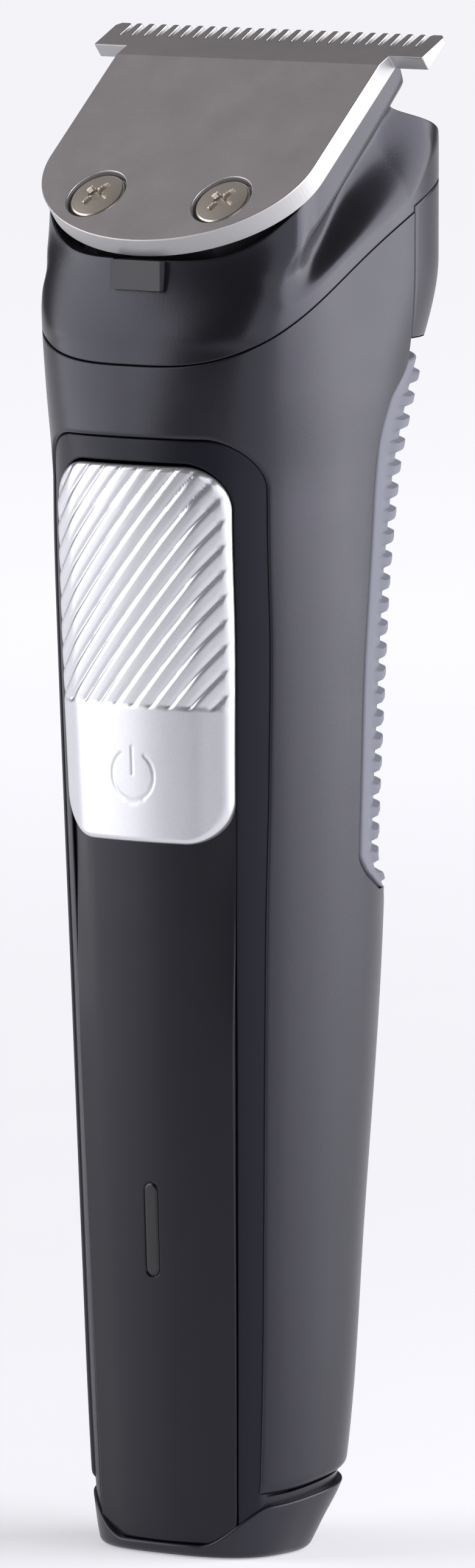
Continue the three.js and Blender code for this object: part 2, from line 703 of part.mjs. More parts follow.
/** Blade outline with rounded nose, straight sides, T-bar and pointed teeth; x across, y along the blade. */
function bladeOutline() {
  const points = [];
  const steps = 20;
  for (let i = 0; i <= steps; i += 1) {
    const angle = Math.PI + (Math.PI * i) / steps;
    points.push([bladeHalfWidth * Math.cos(angle), bladeNose + bladeNose * Math.sin(angle)]);
  }
  points.push([bladeHalfWidth, barStart], [barHalfLength, barStart], [barHalfLength, barEnd - 0.6]);
  points.push([barHalfLength - 0.6, barEnd]);
  points.push(...teeth(fixedTeeth, barEnd));
  points.push([-barHalfLength + 0.6, barEnd], [-barHalfLength, barEnd - 0.6], [-barHalfLength, barStart]);
  points.push([-bladeHalfWidth, barStart]);
  return outline(points);
}

/** Zigzag of comb teeth from +X to -X with their tips at a given distance along the blade. */
function teeth(count, tip) {
  const points = [];
  const half = (count * toothPitch) / 2;
  for (let i = 0; i < count; i += 1) {
    const x = half - i * toothPitch;
    points.push([x, tip - toothLength], [x - 0.25 * toothPitch, tip - toothLength]);
    points.push([x - 0.5 * toothPitch, tip], [x - 0.75 * toothPitch, tip]);
  }
  points.push([-half, tip - toothLength]);
  return points;
}

/** Everything under the bevel that runs from the fold down to the tooth tips. */
function underBevel(drop) {
  const fold = bladeOrigin.clone().addScaledVector(bladeAlong, bladeLength);
  const angle = bladeAngle - bevelAngle;
  const far = [fold.y + 30 * Math.cos(angle), fold.z + 30 * Math.sin(angle)];
  const near = [fold.y - 40 * Math.cos(angle), fold.z - 40 * Math.sin(angle)];
  const lift = 30;
  const corners = [[near[0], near[1] - drop], [far[0], far[1] - drop], [far[0], far[1] + lift],
    [near[0], near[1] + lift + 30]];
  return sidePrism(outline(corners), -reach, reach).intersect(block(-reach, reach, fold.y, reach, 0, 2 * fold.z));
}

function fixedBlade() {
  let blade = bladePrism(bladeOutline(), -bladeThickness, 0).subtract(underBevel(0));
  for (const side of [-1, 1]) {
    const x = side * screwHalfSpacing;
    blade = blade.subtract(bladeRod(screwHeadRadius + gap, x, screwPlace, -sinkDepth, 1, 24));
    blade = blade.subtract(bladeRod(screwShankRadius + gap, x, screwPlace, -5, 1));
  }
  return blade;
}

const cutterTop = -bladeThickness - slideGap;

function movingCutter() {
  const tip = barEnd - cutterSetback;
  const points = [[-cutterHalfWidth, cutterStart], [cutterHalfWidth, cutterStart]];
  points.push([cutterHalfWidth, tip - toothLength]);
  points.push(...teeth(cutterTeeth, tip), [-cutterHalfWidth, tip - toothLength]);
  return bladePrism(outline(points), cutterTop - cutterThickness, cutterTop);
}

const followerHalfWidth = pinThrow + cutterStroke + pinRadius + 0.2 + yokeWall;
const followerBottom = pinTop - yokeHeight;
const followerPadHalfWidth = 3.6;

function cutterFollower() {
  const depth = pinThrow + pinRadius + slideGap;
  const padTop = cutterTop - cutterThickness - gap;
  const pad = bladePrism(outline([[-followerPadHalfWidth, 22.2], [followerPadHalfWidth, 22.2],
    [followerPadHalfWidth, 26.8], [-followerPadHalfWidth, 26.8]]),
    padTop - 1.6, padTop);
  const slotFront = axisDepth - depth;
  const slotBack = axisDepth + depth;
  const stalk = block(-followerPadHalfWidth, followerPadHalfWidth, slotBack - 0.4, slotBack + yokeWall,
    followerBottom, seamHeight + 24).subtract(aboveBlade(padTop));
  const yoke = block(-followerHalfWidth, followerHalfWidth, slotFront - yokeWall, slotBack + yokeWall,
    followerBottom, pinTop + 2 * gap);
  const slot = block(-followerHalfWidth + yokeWall, followerHalfWidth - yokeWall, slotFront, slotBack,
    followerBottom - 1, pinTop + 2);
  return pad.add(stalk).add(yoke).subtract(slot);
}

/** Everything above a plane parallel to the blade. */
function aboveBlade(level) {
  return bladePrism(outline([[-reach, -40], [reach, -40], [reach, 80], [-reach, 80]]), level, level + 60);
}

function bladeScrew(side) {
  const x = side * screwHalfSpacing;
  const head = bladeRod(screwHeadRadius, x, screwPlace, -sinkDepth + gap, screwTop, 24);
  const shank = bladeRod(screwShankRadius, x, screwPlace, -bladeThickness - carrierThickness - gap,
    screwTop - gap);
  const arm = (a, b) => bladePrism(outline([[x - a, screwPlace - b], [x + a, screwPlace - b],
    [x + a, screwPlace + b], [x - a, screwPlace + b]]), screwTop - crossDepth, 1);
  return head.add(shank).subtract(arm(crossReach, crossHalfWidth)).subtract(arm(crossHalfWidth, crossReach));
}

const carrierTop = -bladeThickness - gap;
const carrierBottom = carrierTop - carrierThickness;

function bladeCarrier() {
  const w = carrierHalfWidth;
  const shape = outline([[-w + 5.5, carrierStart], [w - 5.5, carrierStart], [w - 1, carrierStart + 4],
    [w, carrierStart + 8], [w, carrierEnd], [-w, carrierEnd], [-w, carrierStart + 8], [-w + 1, carrierStart + 4]]);
  let plate = bladePrism(shape, carrierBottom, carrierTop);
  const relief = outline([[-reliefHalfWidth, reliefStart], [reliefHalfWidth, reliefStart],
    [reliefHalfWidth, carrierEnd + 2], [-reliefHalfWidth, carrierEnd + 2]]);
  plate = plate.subtract(bladePrism(relief, carrierBottom - 1, carrierTop + 1));
  for (const side of [-1, 1]) {
    const x = side * screwHalfSpacing;
    plate = plate.subtract(bladeRod(screwShankRadius + gap, x, screwPlace, -12, 1));
  }
  const tab = block(-tabHalfWidth, tabHalfWidth, tabFront, tabFront + 1.6, tabBottom, tabTop)
    .add(block(-tabHalfWidth, tabHalfWidth, tabFront, 5.2, tabTop - 1.1, tabTop));
  return plate.add(tab);
}

function tensionSpring() {
  const low = cutterTop - cutterThickness - gap - springThickness;
  const high = low + springThickness;
  const arm = (x0, x1, a, b) => bladePrism(outline([[x0, a], [x1, a], [x1, b], [x0, b]]), low, high);
  const inner = springHalfSpan - springArmWidth;
  return arm(-springHalfSpan, -inner, reliefStart + gap, springEnd)
    .add(arm(inner, springHalfSpan, reliefStart + gap, springEnd))
    .add(arm(-springHalfSpan, springHalfSpan, reliefStart + gap, reliefStart + gap + springThickness));
}

const headTop = carrierTop; // the walls of the head end this far under the blade's top face

/** Curved hollow down each side of the head, from a point near the front to its widest at the back. */
function sideFlute(side) {
  const rings = [];
  const count = 12;
  for (let i = 0; i <= 8; i += 1) {
    const t = i / 8;
    const y = THREE.MathUtils.lerp(fluteFront, fluteBack, t);
    const low = seamAt(y) + rearStripRise + 0.1;
    const high = bladeFrontHeight + (y - bladeFront) * Math.tan(bladeAngle) - 7.8;
    const middle = (low + high) / 2;
    const half = Math.max((high - low) / 2, 0.4);
    const depth = THREE.MathUtils.lerp(0.6, fluteDepth, Math.min(1, 1.3 * t));
    rings.push(Array.from({ length: count }, (_, k) => {
      const angle = (2 * Math.PI * k) / count;
      return [side * (pedestalHalfWidth + 0.8) + depth * Math.cos(angle), y, middle + half * Math.sin(angle)];
    }));
  }
  return loft(rings);
}

function headHousing() {
  const under = aboveBlade(headTop);
  const rearTop = sidePrism(outline([[21.6, seamHeight + 26.4],
    [28.5, seamHeight + 21.6], [31, seamHeight + 20.2], [50, seamHeight + 16], [50, seamHeight + 70],
    [21.6, seamHeight + 70]]),
    -reach, reach);
  let head = body(0).subtract(belowSeam(gap)).subtract(under).subtract(rearTop);
  head = head.subtract(block(-reach, reach, rearStripFront - gap, reach, 0, seamHeight + 40).intersect(
    belowSeam(rearStripRise + gap)));
  head = head.subtract(sideFlute(1)).subtract(sideFlute(-1));
  const recess = outline([[-carrierHalfWidth + 5, carrierStart - gap], [carrierHalfWidth - 5, carrierStart - gap],
    [carrierHalfWidth - 0.6, carrierStart + 3.6], [carrierHalfWidth + gap, carrierStart + 7.6],
    [carrierHalfWidth + gap, 21], [-carrierHalfWidth - gap, 21], [-carrierHalfWidth - gap, carrierStart + 7.6],
    [-carrierHalfWidth + 0.6, carrierStart + 3.6]]);
  head = head.subtract(bladePrism(recess, carrierBottom - gap, 2));
  const rearHalf = cutterHalfWidth + cutterStroke + slideGap;
  const cutterRoom = outline([[-rearHalf, 20.6], [rearHalf, 20.6], [rearHalf, 40], [-rearHalf, 40]]);
  head = head.subtract(bladePrism(cutterRoom, cutterTop - cutterThickness - gap, 2));
  const cavity = sidePrism(outline([[cavityFront, 0], [cavityBack, 0],
    [cavityBack, seamHeight + 28], [cavityFront, seamHeight + 28]]),
    -cavityHalfWidth, cavityHalfWidth);
  const notch = block(-tabHalfWidth - notchGap, tabHalfWidth + notchGap, -10, 5.6, tabBottom - gap, tabTop + 8);
  const neckRoom = rod(9.0, 0, axisDepth, seamHeight - 12, seamHeight + 28, 24).intersect(belowSeam(2.2));
  return head.subtract(cavity).subtract(notch).subtract(neckRoom);
}

// ---------------------------------------------------------------- assembly

const trimmer = new THREE.Group();

/** Adds one named piece to the trimmer. */
function place(name, piece, material) {
  const { vertProperties, triVerts } = piece.getMesh();
  const geometry = new THREE.BufferGeometry();
  geometry.setAttribute('position', new THREE.BufferAttribute(new Float32Array(vertProperties), 3));
  geometry.setIndex(new THREE.BufferAttribute(new Uint32Array(triVerts), 1));
  geometry.computeVertexNormals();
  const mesh = new THREE.Mesh(geometry, material);
  mesh.name = name;
  trimmer.add(mesh);
}

place('front_housing', frontHousing(), satinBlack);
place('rear_housing', rearHousing(), satinBlack);
place('grip_pad', gripPad(), greyRubber);
place('front_bezel', frontBezel(), glossBlack);
place('front_panel', frontPanel(), glossBlack);
place('indicator_lens', indicatorLens(), smokedLens);
place('base_cap', baseCap(), satinBlack);
place('base_screw_left', baseScrew(-1), screwSteel);
place('base_screw_right', baseScrew(1), screwSteel);
place('charge_socket', chargeSocket(), screwSteel);
place('socket_tongue', socketTongue(), blackWire);
place('circuit_board', circuitBoard(), boardGreen);
place('charge_chip', chargeChip(), blackWire);
place('indicator_led', indicatorLed(), whitePlastic);
place('slide_switch_body', slideSwitchBody(), screwSteel);
place('battery_cell', batteryCell(), cellSleeve);
place('battery_tab_top', batteryTab(true), copper);
place('battery_tab_bottom', batteryTab(false), copper);
place('chassis', chassis(), innerPlastic);
place('motor_can', motorCan(), screwSteel);
place('motor_end_bell', motorEndBell(), whitePlastic);
place('motor_lead_red', motorLead(1), redWire);
place('motor_lead_black', motorLead(-1), blackWire);
place('neck_collar', neckCollar(), innerPlastic);
place('neck_seal', neckSeal(), greyRubber);
place('switch_slider', switchSlider(), silverPaint);
place('switch_carriage', switchCarriage(), innerPlastic);
place('slide_switch_knob', slideSwitchKnob(), whitePlastic);
place('motor_shaft', motorShaft(), screwSteel);
place('eccentric_hub', eccentricHub(), whitePlastic);
place('drive_pin', drivePin(), screwSteel);
place('head_housing', headHousing(), satinBlack);
place('blade_carrier', bladeCarrier(), innerPlastic);
place('fixed_blade', fixedBlade(), brushedSteel);
place('blade_screw_left', bladeScrew(-1), screwSteel);
place('blade_screw_right', bladeScrew(1), screwSteel);
place('tension_spring', tensionSpring(), screwSteel);
place('moving_cutter', movingCutter(), brushedSteel);
place('cutter_follower', cutterFollower(), whitePlastic);

const extent = new THREE.Box3().setFromObject(trimmer);
trimmer.position.y = -(extent.min.y + extent.max.y) / 2;

export default trimmer;
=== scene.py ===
# Finished surfaces and finishes of a beard trimmer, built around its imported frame.
#
# Shapes are worked out in millimetres in a shaping frame: +X to the right, -Y to the front, +Z up, and y = 0
# near the front of the head. A mesh is moved to the row frame and into metres when it is made.
import math

import bmesh
import bpy
import numpy as np
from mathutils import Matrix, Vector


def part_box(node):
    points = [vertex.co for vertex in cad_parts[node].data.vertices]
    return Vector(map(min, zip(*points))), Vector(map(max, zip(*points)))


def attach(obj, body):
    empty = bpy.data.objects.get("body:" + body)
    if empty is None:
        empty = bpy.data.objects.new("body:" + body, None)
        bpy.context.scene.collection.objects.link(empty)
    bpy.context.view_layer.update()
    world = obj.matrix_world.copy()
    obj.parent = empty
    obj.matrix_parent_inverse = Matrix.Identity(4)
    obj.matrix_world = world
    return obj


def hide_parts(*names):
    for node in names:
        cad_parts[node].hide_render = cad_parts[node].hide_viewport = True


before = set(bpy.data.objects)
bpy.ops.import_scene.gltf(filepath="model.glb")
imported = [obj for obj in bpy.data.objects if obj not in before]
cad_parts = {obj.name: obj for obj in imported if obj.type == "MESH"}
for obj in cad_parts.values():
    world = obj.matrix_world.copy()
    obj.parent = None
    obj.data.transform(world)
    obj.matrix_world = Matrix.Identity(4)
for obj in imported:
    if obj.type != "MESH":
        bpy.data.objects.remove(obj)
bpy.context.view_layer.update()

# ---------------------------------------------------------------- sizes

# The motor's axis in the shaping frame; its CAD node gives the same line in the row frame.
MOTOR_AXIS_Y = 15.3
BODY_HALF_WIDTH = 16.6
SEAM_Z = 122.0
SEAM_SLOPE = 0.69
SEAM_SAG = 0.0055
SKIRT_Z = 5.6
SKIRT_SLOPE = 0.13
GAP = 0.3

# Outline of the closed body: height, how much narrower than the widest half, front, back, squareness.
STATIONS = np.array([
    [0, 6.0, 3.7, 19.2, 2.8],
    [2.5, 5.1, 3.3, 21.0, 2.6],
    [8, 3.7, 3.05, 24.6, 2.5],
    [33, 2.6, 1.85, 27.2, 2.5],
    [SEAM_Z - 55, 1.4, 0.25, 30.0, 2.5],
    [SEAM_Z - 26, 0.7, -1.1, 30.3, 2.5],
    [SEAM_Z - 14, 0.5, -1.6, 31.6, 2.5],
    [SEAM_Z - 3, 0.2, -1.4, 33.2, 3.0],
    [SEAM_Z + 9, 0, -0.2, 35.4, 4.0],
    [SEAM_Z + 30, 0, -0.2, 35.4, 4.0],
])

WALL = 1.8
PARTING_Y = 24.5
REAR_STRIP_Y = 25.0
REAR_STRIP_RISE = 0.6
REAR_SEAT = 2.1  # how far the rear shell lies under the grip
GRIP_Z = SEAM_Z - 55.6
GRIP_HEIGHT = 56.0
# Edge between the front shell and the grip: height, depth.
SHELL_EDGE = np.array([
    [0, PARTING_Y], [GRIP_Z, PARTING_Y], [GRIP_Z + 0.8, 22], [GRIP_Z + 1.8, 20], [GRIP_Z + 2.8, 18.4],
    [GRIP_Z + 4.6, 17.1], [GRIP_Z + 20.1, 17.2], [GRIP_Z + 35.6, 18.3], [GRIP_Z + 45.4, 19.1],
    [GRIP_Z + 50.5, 21.2], [GRIP_Z + 54.4, 24.8], [GRIP_Z + 57, REAR_STRIP_Y], [SEAM_Z + 40, REAR_STRIP_Y],
])

ARCH_HALF = BODY_HALF_WIDTH - 3.2
ARCH_TOP = SEAM_Z - 8
ARCH_GAP = 0.1
SEAM_GAP = 0.06
ARCH_CORNER = 5.0
CHANNEL_DEPTH = 2.3
BEZEL_SINK = 0.3
BEZEL_BOTTOM = 1.3
BEZEL_WIDTH = 2.7
WINDOW_HALF = ARCH_HALF - BEZEL_WIDTH
# Half widths up the handle of the arch in the front shell and of the window in the bezel.
ARCH_SIDES = np.array([
    [0, ARCH_HALF - 3.05], [6, ARCH_HALF - 2.8], [20, ARCH_HALF - 2.23], [35, ARCH_HALF - 1.8],
    [50, ARCH_HALF - 1.4], [65, ARCH_HALF - 0.97], [80, ARCH_HALF - 0.4], [97, ARCH_HALF], [150, ARCH_HALF],
])
WINDOW_SIDES = np.array([
    [0, WINDOW_HALF - 2.3], [6, WINDOW_HALF - 2.13], [20, WINDOW_HALF - 1.75], [35, WINDOW_HALF - 1.4],
    [50, WINDOW_HALF - 1.06], [65, WINDOW_HALF - 0.72], [80, WINDOW_HALF - 0.35], [97, WINDOW_HALF],
    [150, WINDOW_HALF],
])
PANEL_SINK = 0.5
PANEL_GAP = 0.06
PANEL_BOTTOM = 1.3
FACET_X = 7.7  # where the front face of the panel and the slider turns into its side facets, at its widest
FACET_WIDTH = 2.8
SLIDER_TOP = ARCH_TOP - 2.8
SLIDER_BOTTOM = SLIDER_TOP - 38.2
SLIDER_CORNER_TOP = 4.4
SLIDER_CORNER_BOTTOM = 4.5
SLIDER_PROUD = 0.5
SLIDER_THICKNESS = 1.0
RIB_END_Z = 86.6
RIB_PITCH_Z = 2.51
RIB_SLOPE = 1.157  # rise of a groove over its run across the slider
POWER_Z = 79.8
LENS_HALF = 0.8
LENS_BOTTOM = 28.6
LENS_TOP = 38.1

BLADE_ANGLE = math.radians(40.9)
BEVEL_ANGLE = math.radians(15)
BLADE_Y = -1.1
BLADE_Z = SEAM_Z + 11.75
BLADE_HALF = 16.4
NOSE_Z = SEAM_Z + 12.0
BLADE_NOSE = 11.5
BLADE_FOLD = 26.3
BLADE_THICKNESS = 2.25
BLADE_CHAMFER = 0.14
BAR_HALF = 20.5
BAR_START = 28.1
BAR_END = 32.6
TOOTH_COUNT = 24
TOOTH_PITCH = 1.54
TOOTH_LENGTH = 2.6
SCREW_X = 7.8
SCREW_ALONG = 6.3
SCREW_RADIUS = 3.0
SCREW_SINK = 1.1
TAB_HALF = 3.1
TAB_Z = SEAM_Z + 6.7
TAB_RECESS = 5.6
CARRIER_THICKNESS = 2.6
SCREW_RIM = 0.35
BASE_MIDDLE = np.array([0, 11.5, 0])
BASE_ROUND = 0.7
BASE_FLOOR = 2.2
BASE_WALL = 2.4

# Upper rim of the head behind the blade: depth, height.
HEAD_RIM = np.array([
    [0, 200], [24.0, 149.4], [25.5, 146.6], [30.0, 144.6], [32.5, 143.2], [34.0, 142.6], [36, 142.2],
])
# Lip over the seam round the head: depth, height over the seam.
HEAD_LIP = np.array([[0, 1.9], [12, 2.0], [24, 1.9], [28.8, 4.3], [36, 4.5]])
# How deep the grip's skin lies between its ribs: height over the grip's foot, depth.
GRIP_WAIST = np.array([[0, 1.35], [10, 1.25], [35, 0.6], [50, 0.35], [55, 0.3]])

ROW_SHIFT = 500 * (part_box("motor_can")[0].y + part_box("motor_can")[1].y) - MOTOR_AXIS_Y


# ---------------------------------------------------------------- numbers

def smooth(low, high, value):
    """0 below low, 1 above high, and 3t^2 - 2t^3 of the share t in between."""
    share = np.clip((value - low) / (high - low), 0, 1)
    return share * share * (3 - 2 * share)


def through(table, at, column=1):
    """Value of a table's column at a height: a cubic with harmonic-mean slopes, which never overshoots."""
    z, v = table[:, 0], table[:, column]
    rise = np.diff(v) / np.diff(z)
    before, after = rise[:-1], rise[1:]
    same = before * after > 0
    inner = np.where(same, 2 * before * after / np.where(same, before + after, 1), 0)
    slope = np.concatenate([rise[:1], inner, rise[-1:]])
    at = np.clip(at, z[0], z[-1])
    i = np.clip(np.searchsorted(z, at, side="right") - 1, 0, len(z) - 2)
    span = z[i + 1] - z[i]
    t = (at - z[i]) / span
    return (
        (2 * t**3 - 3 * t**2 + 1) * v[i] + (t**3 - 2 * t**2 + t) * span * slope[i]
        + (3 * t**2 - 2 * t**3) * v[i + 1] + (t**3 - t**2) * span * slope[i + 1]
    )


def rounded(distance, radius):
    """Fall of a rounded edge at a distance from it: radius - sqrt(radius^2 - (radius - distance)^2)."""
    left = radius - np.clip(distance, 0, radius)
    return radius - np.sqrt(np.maximum(radius**2 - left**2, 0))


# Where grid lines lie over a rounded edge, in radii.
EDGE_LINES = np.array([0, 0.076, 0.293, 0.617, 1.0, 1.7])


def with_edges(low, high, radius, count):
    """Places from low to high: lines over a rounded edge at both ends, and count even ones between."""
    edge = EDGE_LINES * radius
    middle = np.linspace(low + edge[-1], high - edge[-1], count + 2)[1:-1]
    return np.concatenate([low + edge, middle, high - edge[::-1]])


def seam_z(y):
    """Height of the seam under the head: a gentle parabola over the depth."""
    return SEAM_Z + SEAM_SLOPE * y - SEAM_SAG * y * y


def skirt_z(y):
    """Height of the shells' lower edge: a straight slope over the depth."""
    return SKIRT_Z + SKIRT_SLOPE * y


# ---------------------------------------------------------------- body surface

def section(z, inset):
    """Half width, middle depth, half depth and squareness of the body's section at a height."""
    front, back = through(STATIONS, z, 2), through(STATIONS, z, 3)
    half_width = BODY_HALF_WIDTH - through(STATIONS, z, 1) - inset
    return half_width, (front + back) / 2, (back - front) / 2 - inset, through(STATIONS, z, 4)


def on_body(angle, z, inset=0.0):
    """Point of the body at an angle about its middle, from +X to the back.

    The section is |x/a|^n + |y/b|^n = 1, so its radius is (|cos/a|^n + |sin/b|^n)^(-1/n).
    """
    a, middle, b, n = section(z, inset)
    c, s = np.cos(angle), np.sin(angle)
    radius = (np.abs(c / a) ** n + np.abs(s / b) ** n) ** (-1 / n)
    return np.stack(np.broadcast_arrays(radius * c, middle + radius * s, z), -1)


def angle_at_depth(y, z, inset=0.0):
    """Angle on the right side where the body's section reaches a depth."""
    a, middle, b, n = section(z, inset)
    share = np.clip((y - middle) / b, -1, 1)
    return np.arctan2(b * share, a * (1 - np.abs(share) ** n) ** (1 / n))


def front_y(x, z, inset=0.0):
    """Depth of the body's front surface over a point: middle - b (1 - |x/a|^n)^(1/n)."""
    a, middle, b, n = section(z, inset)
    return middle - b * (1 - np.clip(np.abs(x / a), 0, 1) ** n) ** (1 / n)


def angle_at_side(x, z):
    """Angle of the body's front surface over a point."""
    _, middle, _, _ = section(z, 0.0)
    return np.arctan2(front_y(x, z) - middle, x)


def level(angle, share):
    """Height at a share of the way from the skirt to the seam, found by going round its formula ten times."""
    y = np.full(np.broadcast(angle, share).shape, 12.0)
    for _ in range(10):
        z = skirt_z(y) + share * (seam_z(y) - skirt_z(y))
        y = on_body(angle, z)[..., 1]
    return z


def share_of(y, z):
    """Share of the way from the skirt to the seam."""
    return (z - skirt_z(y)) / (seam_z(y) - skirt_z(y))


def on_blade(x, along, height):
    """Point over the blade's top face: its front end, plus a run along the slope and a rise square to it."""
    c, s = math.cos(BLADE_ANGLE), math.sin(BLADE_ANGLE)
    y = BLADE_Y + along * c - height * s
    z = BLADE_Z + along * s + height * c
    return np.stack(np.broadcast_arrays(x, y, z), -1)


# ---------------------------------------------------------------- meshes

def quads(index):
    """Faces of a grid of point numbers."""
    return np.stack([index[:-1, :-1], index[1:, :-1], index[1:, 1:], index[:-1, 1:]], -1).reshape(-1, 4)


def slab(upper, lower):
    """Closed solid between two grids of points of one shape, joined round their borders."""
    index = np.arange(upper.shape[0] * upper.shape[1]).reshape(upper.shape[:2])
    under = index.size
    rim = np.concatenate([index[0], index[1:, -1], index[-1, -2::-1], index[-2:0:-1, 0]])
    ahead = np.roll(rim, -1)
    sides = np.stack([rim, ahead, ahead + under, rim + under], -1)
    points = np.concatenate([upper.reshape(-1, 3), lower.reshape(-1, 3)])
    return points, np.concatenate([quads(index), quads(index + under)[:, ::-1], sides])


def ring_solid(rings):
    """Closed solid through closed rings of points, with its first and last ring filled."""
    count, size = rings.shape[:2]
    index = np.arange(count * size).reshape(count, size)
    wrapped = np.concatenate([index, index[:, :1]], 1)
    faces = [tuple(f) for f in quads(wrapped).tolist()]
    return rings.reshape(-1, 3), faces + [tuple(index[0][::-1].tolist()), tuple(index[-1].tolist())]


def torus(rings):
    """Closed solid through closed rings of points, whose last ring joins its first."""
    count, size = rings.shape[:2]
    index = np.arange(count * size).reshape(count, size)
    wrapped = np.concatenate([index, index[:1]], 0)
    wrapped = np.concatenate([wrapped, wrapped[:, :1]], 1)
    return rings.reshape(-1, 3), quads(wrapped)


def mirrored(half):
    """A grid whose last row lies on x = 0, followed by its mirror image."""
    other = half[-2::-1] * np.array([-1, 1, 1])
    return np.concatenate([half, other])


def mesh_object(name, points, faces):
    """Object at the origin, in the row frame, with its faces outwards and edges over 30 degrees sharp."""
    placed = (np.asarray(points) + [0, ROW_SHIFT, 0]) / 1000
    mesh = bpy.data.meshes.new(name)
    corners = faces if isinstance(faces, list) else faces.tolist()
    mesh.from_pydata(placed.tolist(), [], [tuple(f) for f in corners])
    work = bmesh.new()
    work.from_mesh(mesh)
    bmesh.ops.remove_doubles(work, verts=work.verts, dist=2e-6)
    bmesh.ops.recalc_face_normals(work, faces=work.faces)
    work.to_mesh(mesh)
    work.free()
    mesh.shade_smooth()
    mesh.set_sharp_from_angle(angle=math.radians(30))
    made = bpy.data.objects.new(name, mesh)
    bpy.context.scene.collection.objects.link(made)
    return made


def finished(made, body, finish, slot, *nodes):
    """Gives a piece its finish and its body, and hides the CAD nodes that it stands for. The slot is not
    used.
    """
    made.data.materials.clear()
    made.data.materials.append(finish)
    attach(made, body)
    if nodes:
        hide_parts(*nodes)
    return made


def cut(made, *tools):
    """Takes solids out of a piece."""
    for tool in tools:
        step = made.modifiers.new("cut", "BOOLEAN")
        step.object = tool
        step.operation = "DIFFERENCE"
        step.solver = "EXACT"
    apply_modifiers(made)
    for tool in tools:
        bpy.data.objects.remove(tool)
    return made


def apply_modifiers(made):
    """Keeps the mesh that the modifiers make, and drops them."""
    done = made.evaluated_get(bpy.context.evaluated_depsgraph_get())
    mesh = bpy.data.meshes.new_from_object(done)
    made.modifiers.clear()
    made.data = mesh
    return made


# ---------------------------------------------------------------- finishes

class Signal:
    """A node socket that takes part in Python arithmetic; each operation adds a Math node."""

    def __init__(self, finish, socket):
        self.finish = finish
        self.socket = socket

    def math(self, operation, *values):
        return self.finish.add("ShaderNodeMath", {"operation": operation}, dict(enumerate(values)))

    def __add__(self, other):
        return self.math("ADD", self, other)

    def __radd__(self, other):
        return self.math("ADD", other, self)

    def __sub__(self, other):
        return self.math("SUBTRACT", self, other)

    def __rsub__(self, other):
        return self.math("SUBTRACT", other, self)

    def __mul__(self, other):
        return self.math("MULTIPLY", self, other)

    def __rmul__(self, other):
        return self.math("MULTIPLY", other, self)

    def clamped(self):
        return self.math("MINIMUM", self.math("MAXIMUM", self, 0.0), 1.0)


class Finish:
    """A material of nodes round one Principled shader."""

    def __init__(self, name, colour, roughness, metallic=0.0, **constants):
        self.material = bpy.data.materials.new(name)
        self.material.use_nodes = True
        self.tree = self.material.node_tree
        self.shader = next(n for n in self.tree.nodes if n.type == "BSDF_PRINCIPLED")
        self.colour = colour
        self.set("Base Color", (*colour, 1))
        self.set("Roughness", roughness)
        self.set("Metallic", metallic)
        for key, value in constants.items():
            self.set(key.replace("_", " ").title().replace("Ior", "IOR"), value)
        self.place = self.add("ShaderNodeTexCoord", {}, {}, "Object")

    def set(self, name, value):
        """Puts a constant on a socket of the shader, or links it to a signal."""
        if isinstance(value, Signal):
            self.tree.links.new(value.socket, self.shader.inputs[name])
        else:
            self.shader.inputs[name].default_value = value

    def add(self, kind, settings, values, output=0):
        """Adds a node with its settings and the values or links of its sockets; gives one output's signal."""
        node = self.tree.nodes.new(kind)
        for key, value in settings.items():
            setattr(node, key, value)
        for key, value in values.items():
            if isinstance(value, Signal):
                self.tree.links.new(value.socket, node.inputs[key])
            else:
                node.inputs[key].default_value = value
        return Signal(self, node.outputs[output])

    def stretched(self, scale, turn=(0, 0, 0), origin=(0, 0, 0)):
        """Object coordinates turned and scaled."""
        values = {"Vector": self.place, "Scale": scale, "Rotation": turn, "Location": origin}
        return self.add("ShaderNodeMapping", {"vector_type": "TEXTURE"}, values)

    def noise(self, size, detail=2.0, where=None):
        """Soft noise whose features are about so many millimetres across, from 0 to 1 round 0.5."""
        values = {"Vector": where or self.place, "Scale": 1000 / size, "Detail": detail}
        return self.add("ShaderNodeTexNoise", {}, values)

    def mix(self, share, first, second):
        """Colour between two colours."""
        values = {0: share, 6: first, 7: second}
        return self.add("ShaderNodeMix", {"data_type": "RGBA"}, values, 2)

    def bump(self, height, depth, strength=1.0):
        """Presses a height into the surface normal, at a depth in millimetres."""
        values = {"Height": height, "Distance": depth / 1000, "Strength": strength}
        self.set("Normal", self.add("ShaderNodeBump", {}, values))

    def shade(self, share, spread=0.15, tint=(1, 1, 1)):
        """Varies the base colour by a signal, darker at 0 and lighter at 1."""
        dark = [c * (1 - spread) for c in self.colour]
        light = [min(1.0, c * (1 + spread) * t) for c, t in zip(self.colour, tint)]
        self.set("Base Color", self.mix(share, (*dark, 1), (*light, 1)))


def moulded(name, colour, roughness, grain=0.22, depth=0.006, spread=0.08, **constants):
    """Moulded plastic: fine spark-eroded grain, slow drift of gloss and colour, faint handling wear."""
    finish = Finish(name, colour, roughness, **constants)
    fine = finish.noise(grain, 3.0)
    slow = finish.noise(9.0, 2.0)
    finish.bump(fine, depth)
    finish.set("Roughness", roughness + 0.10 * (slow - 0.5) + 0.05 * (fine - 0.5))
    finish.shade(slow, spread)
    return finish.material


def soft_rubber(name, colour):
    """Soft-touch rubber: matt, with a fine sandy grain and dust-light patches."""
    finish = Finish(name, colour, 0.72, sheen_weight=0.1, sheen_roughness=0.5)
    fine = finish.noise(0.16, 4.0)
    slow = finish.noise(6.0, 3.0)
    finish.bump(fine, 0.014)
    finish.set("Roughness", 0.70 + 0.14 * (slow - 0.5))
    finish.shade(slow, 0.09)
    return finish.material


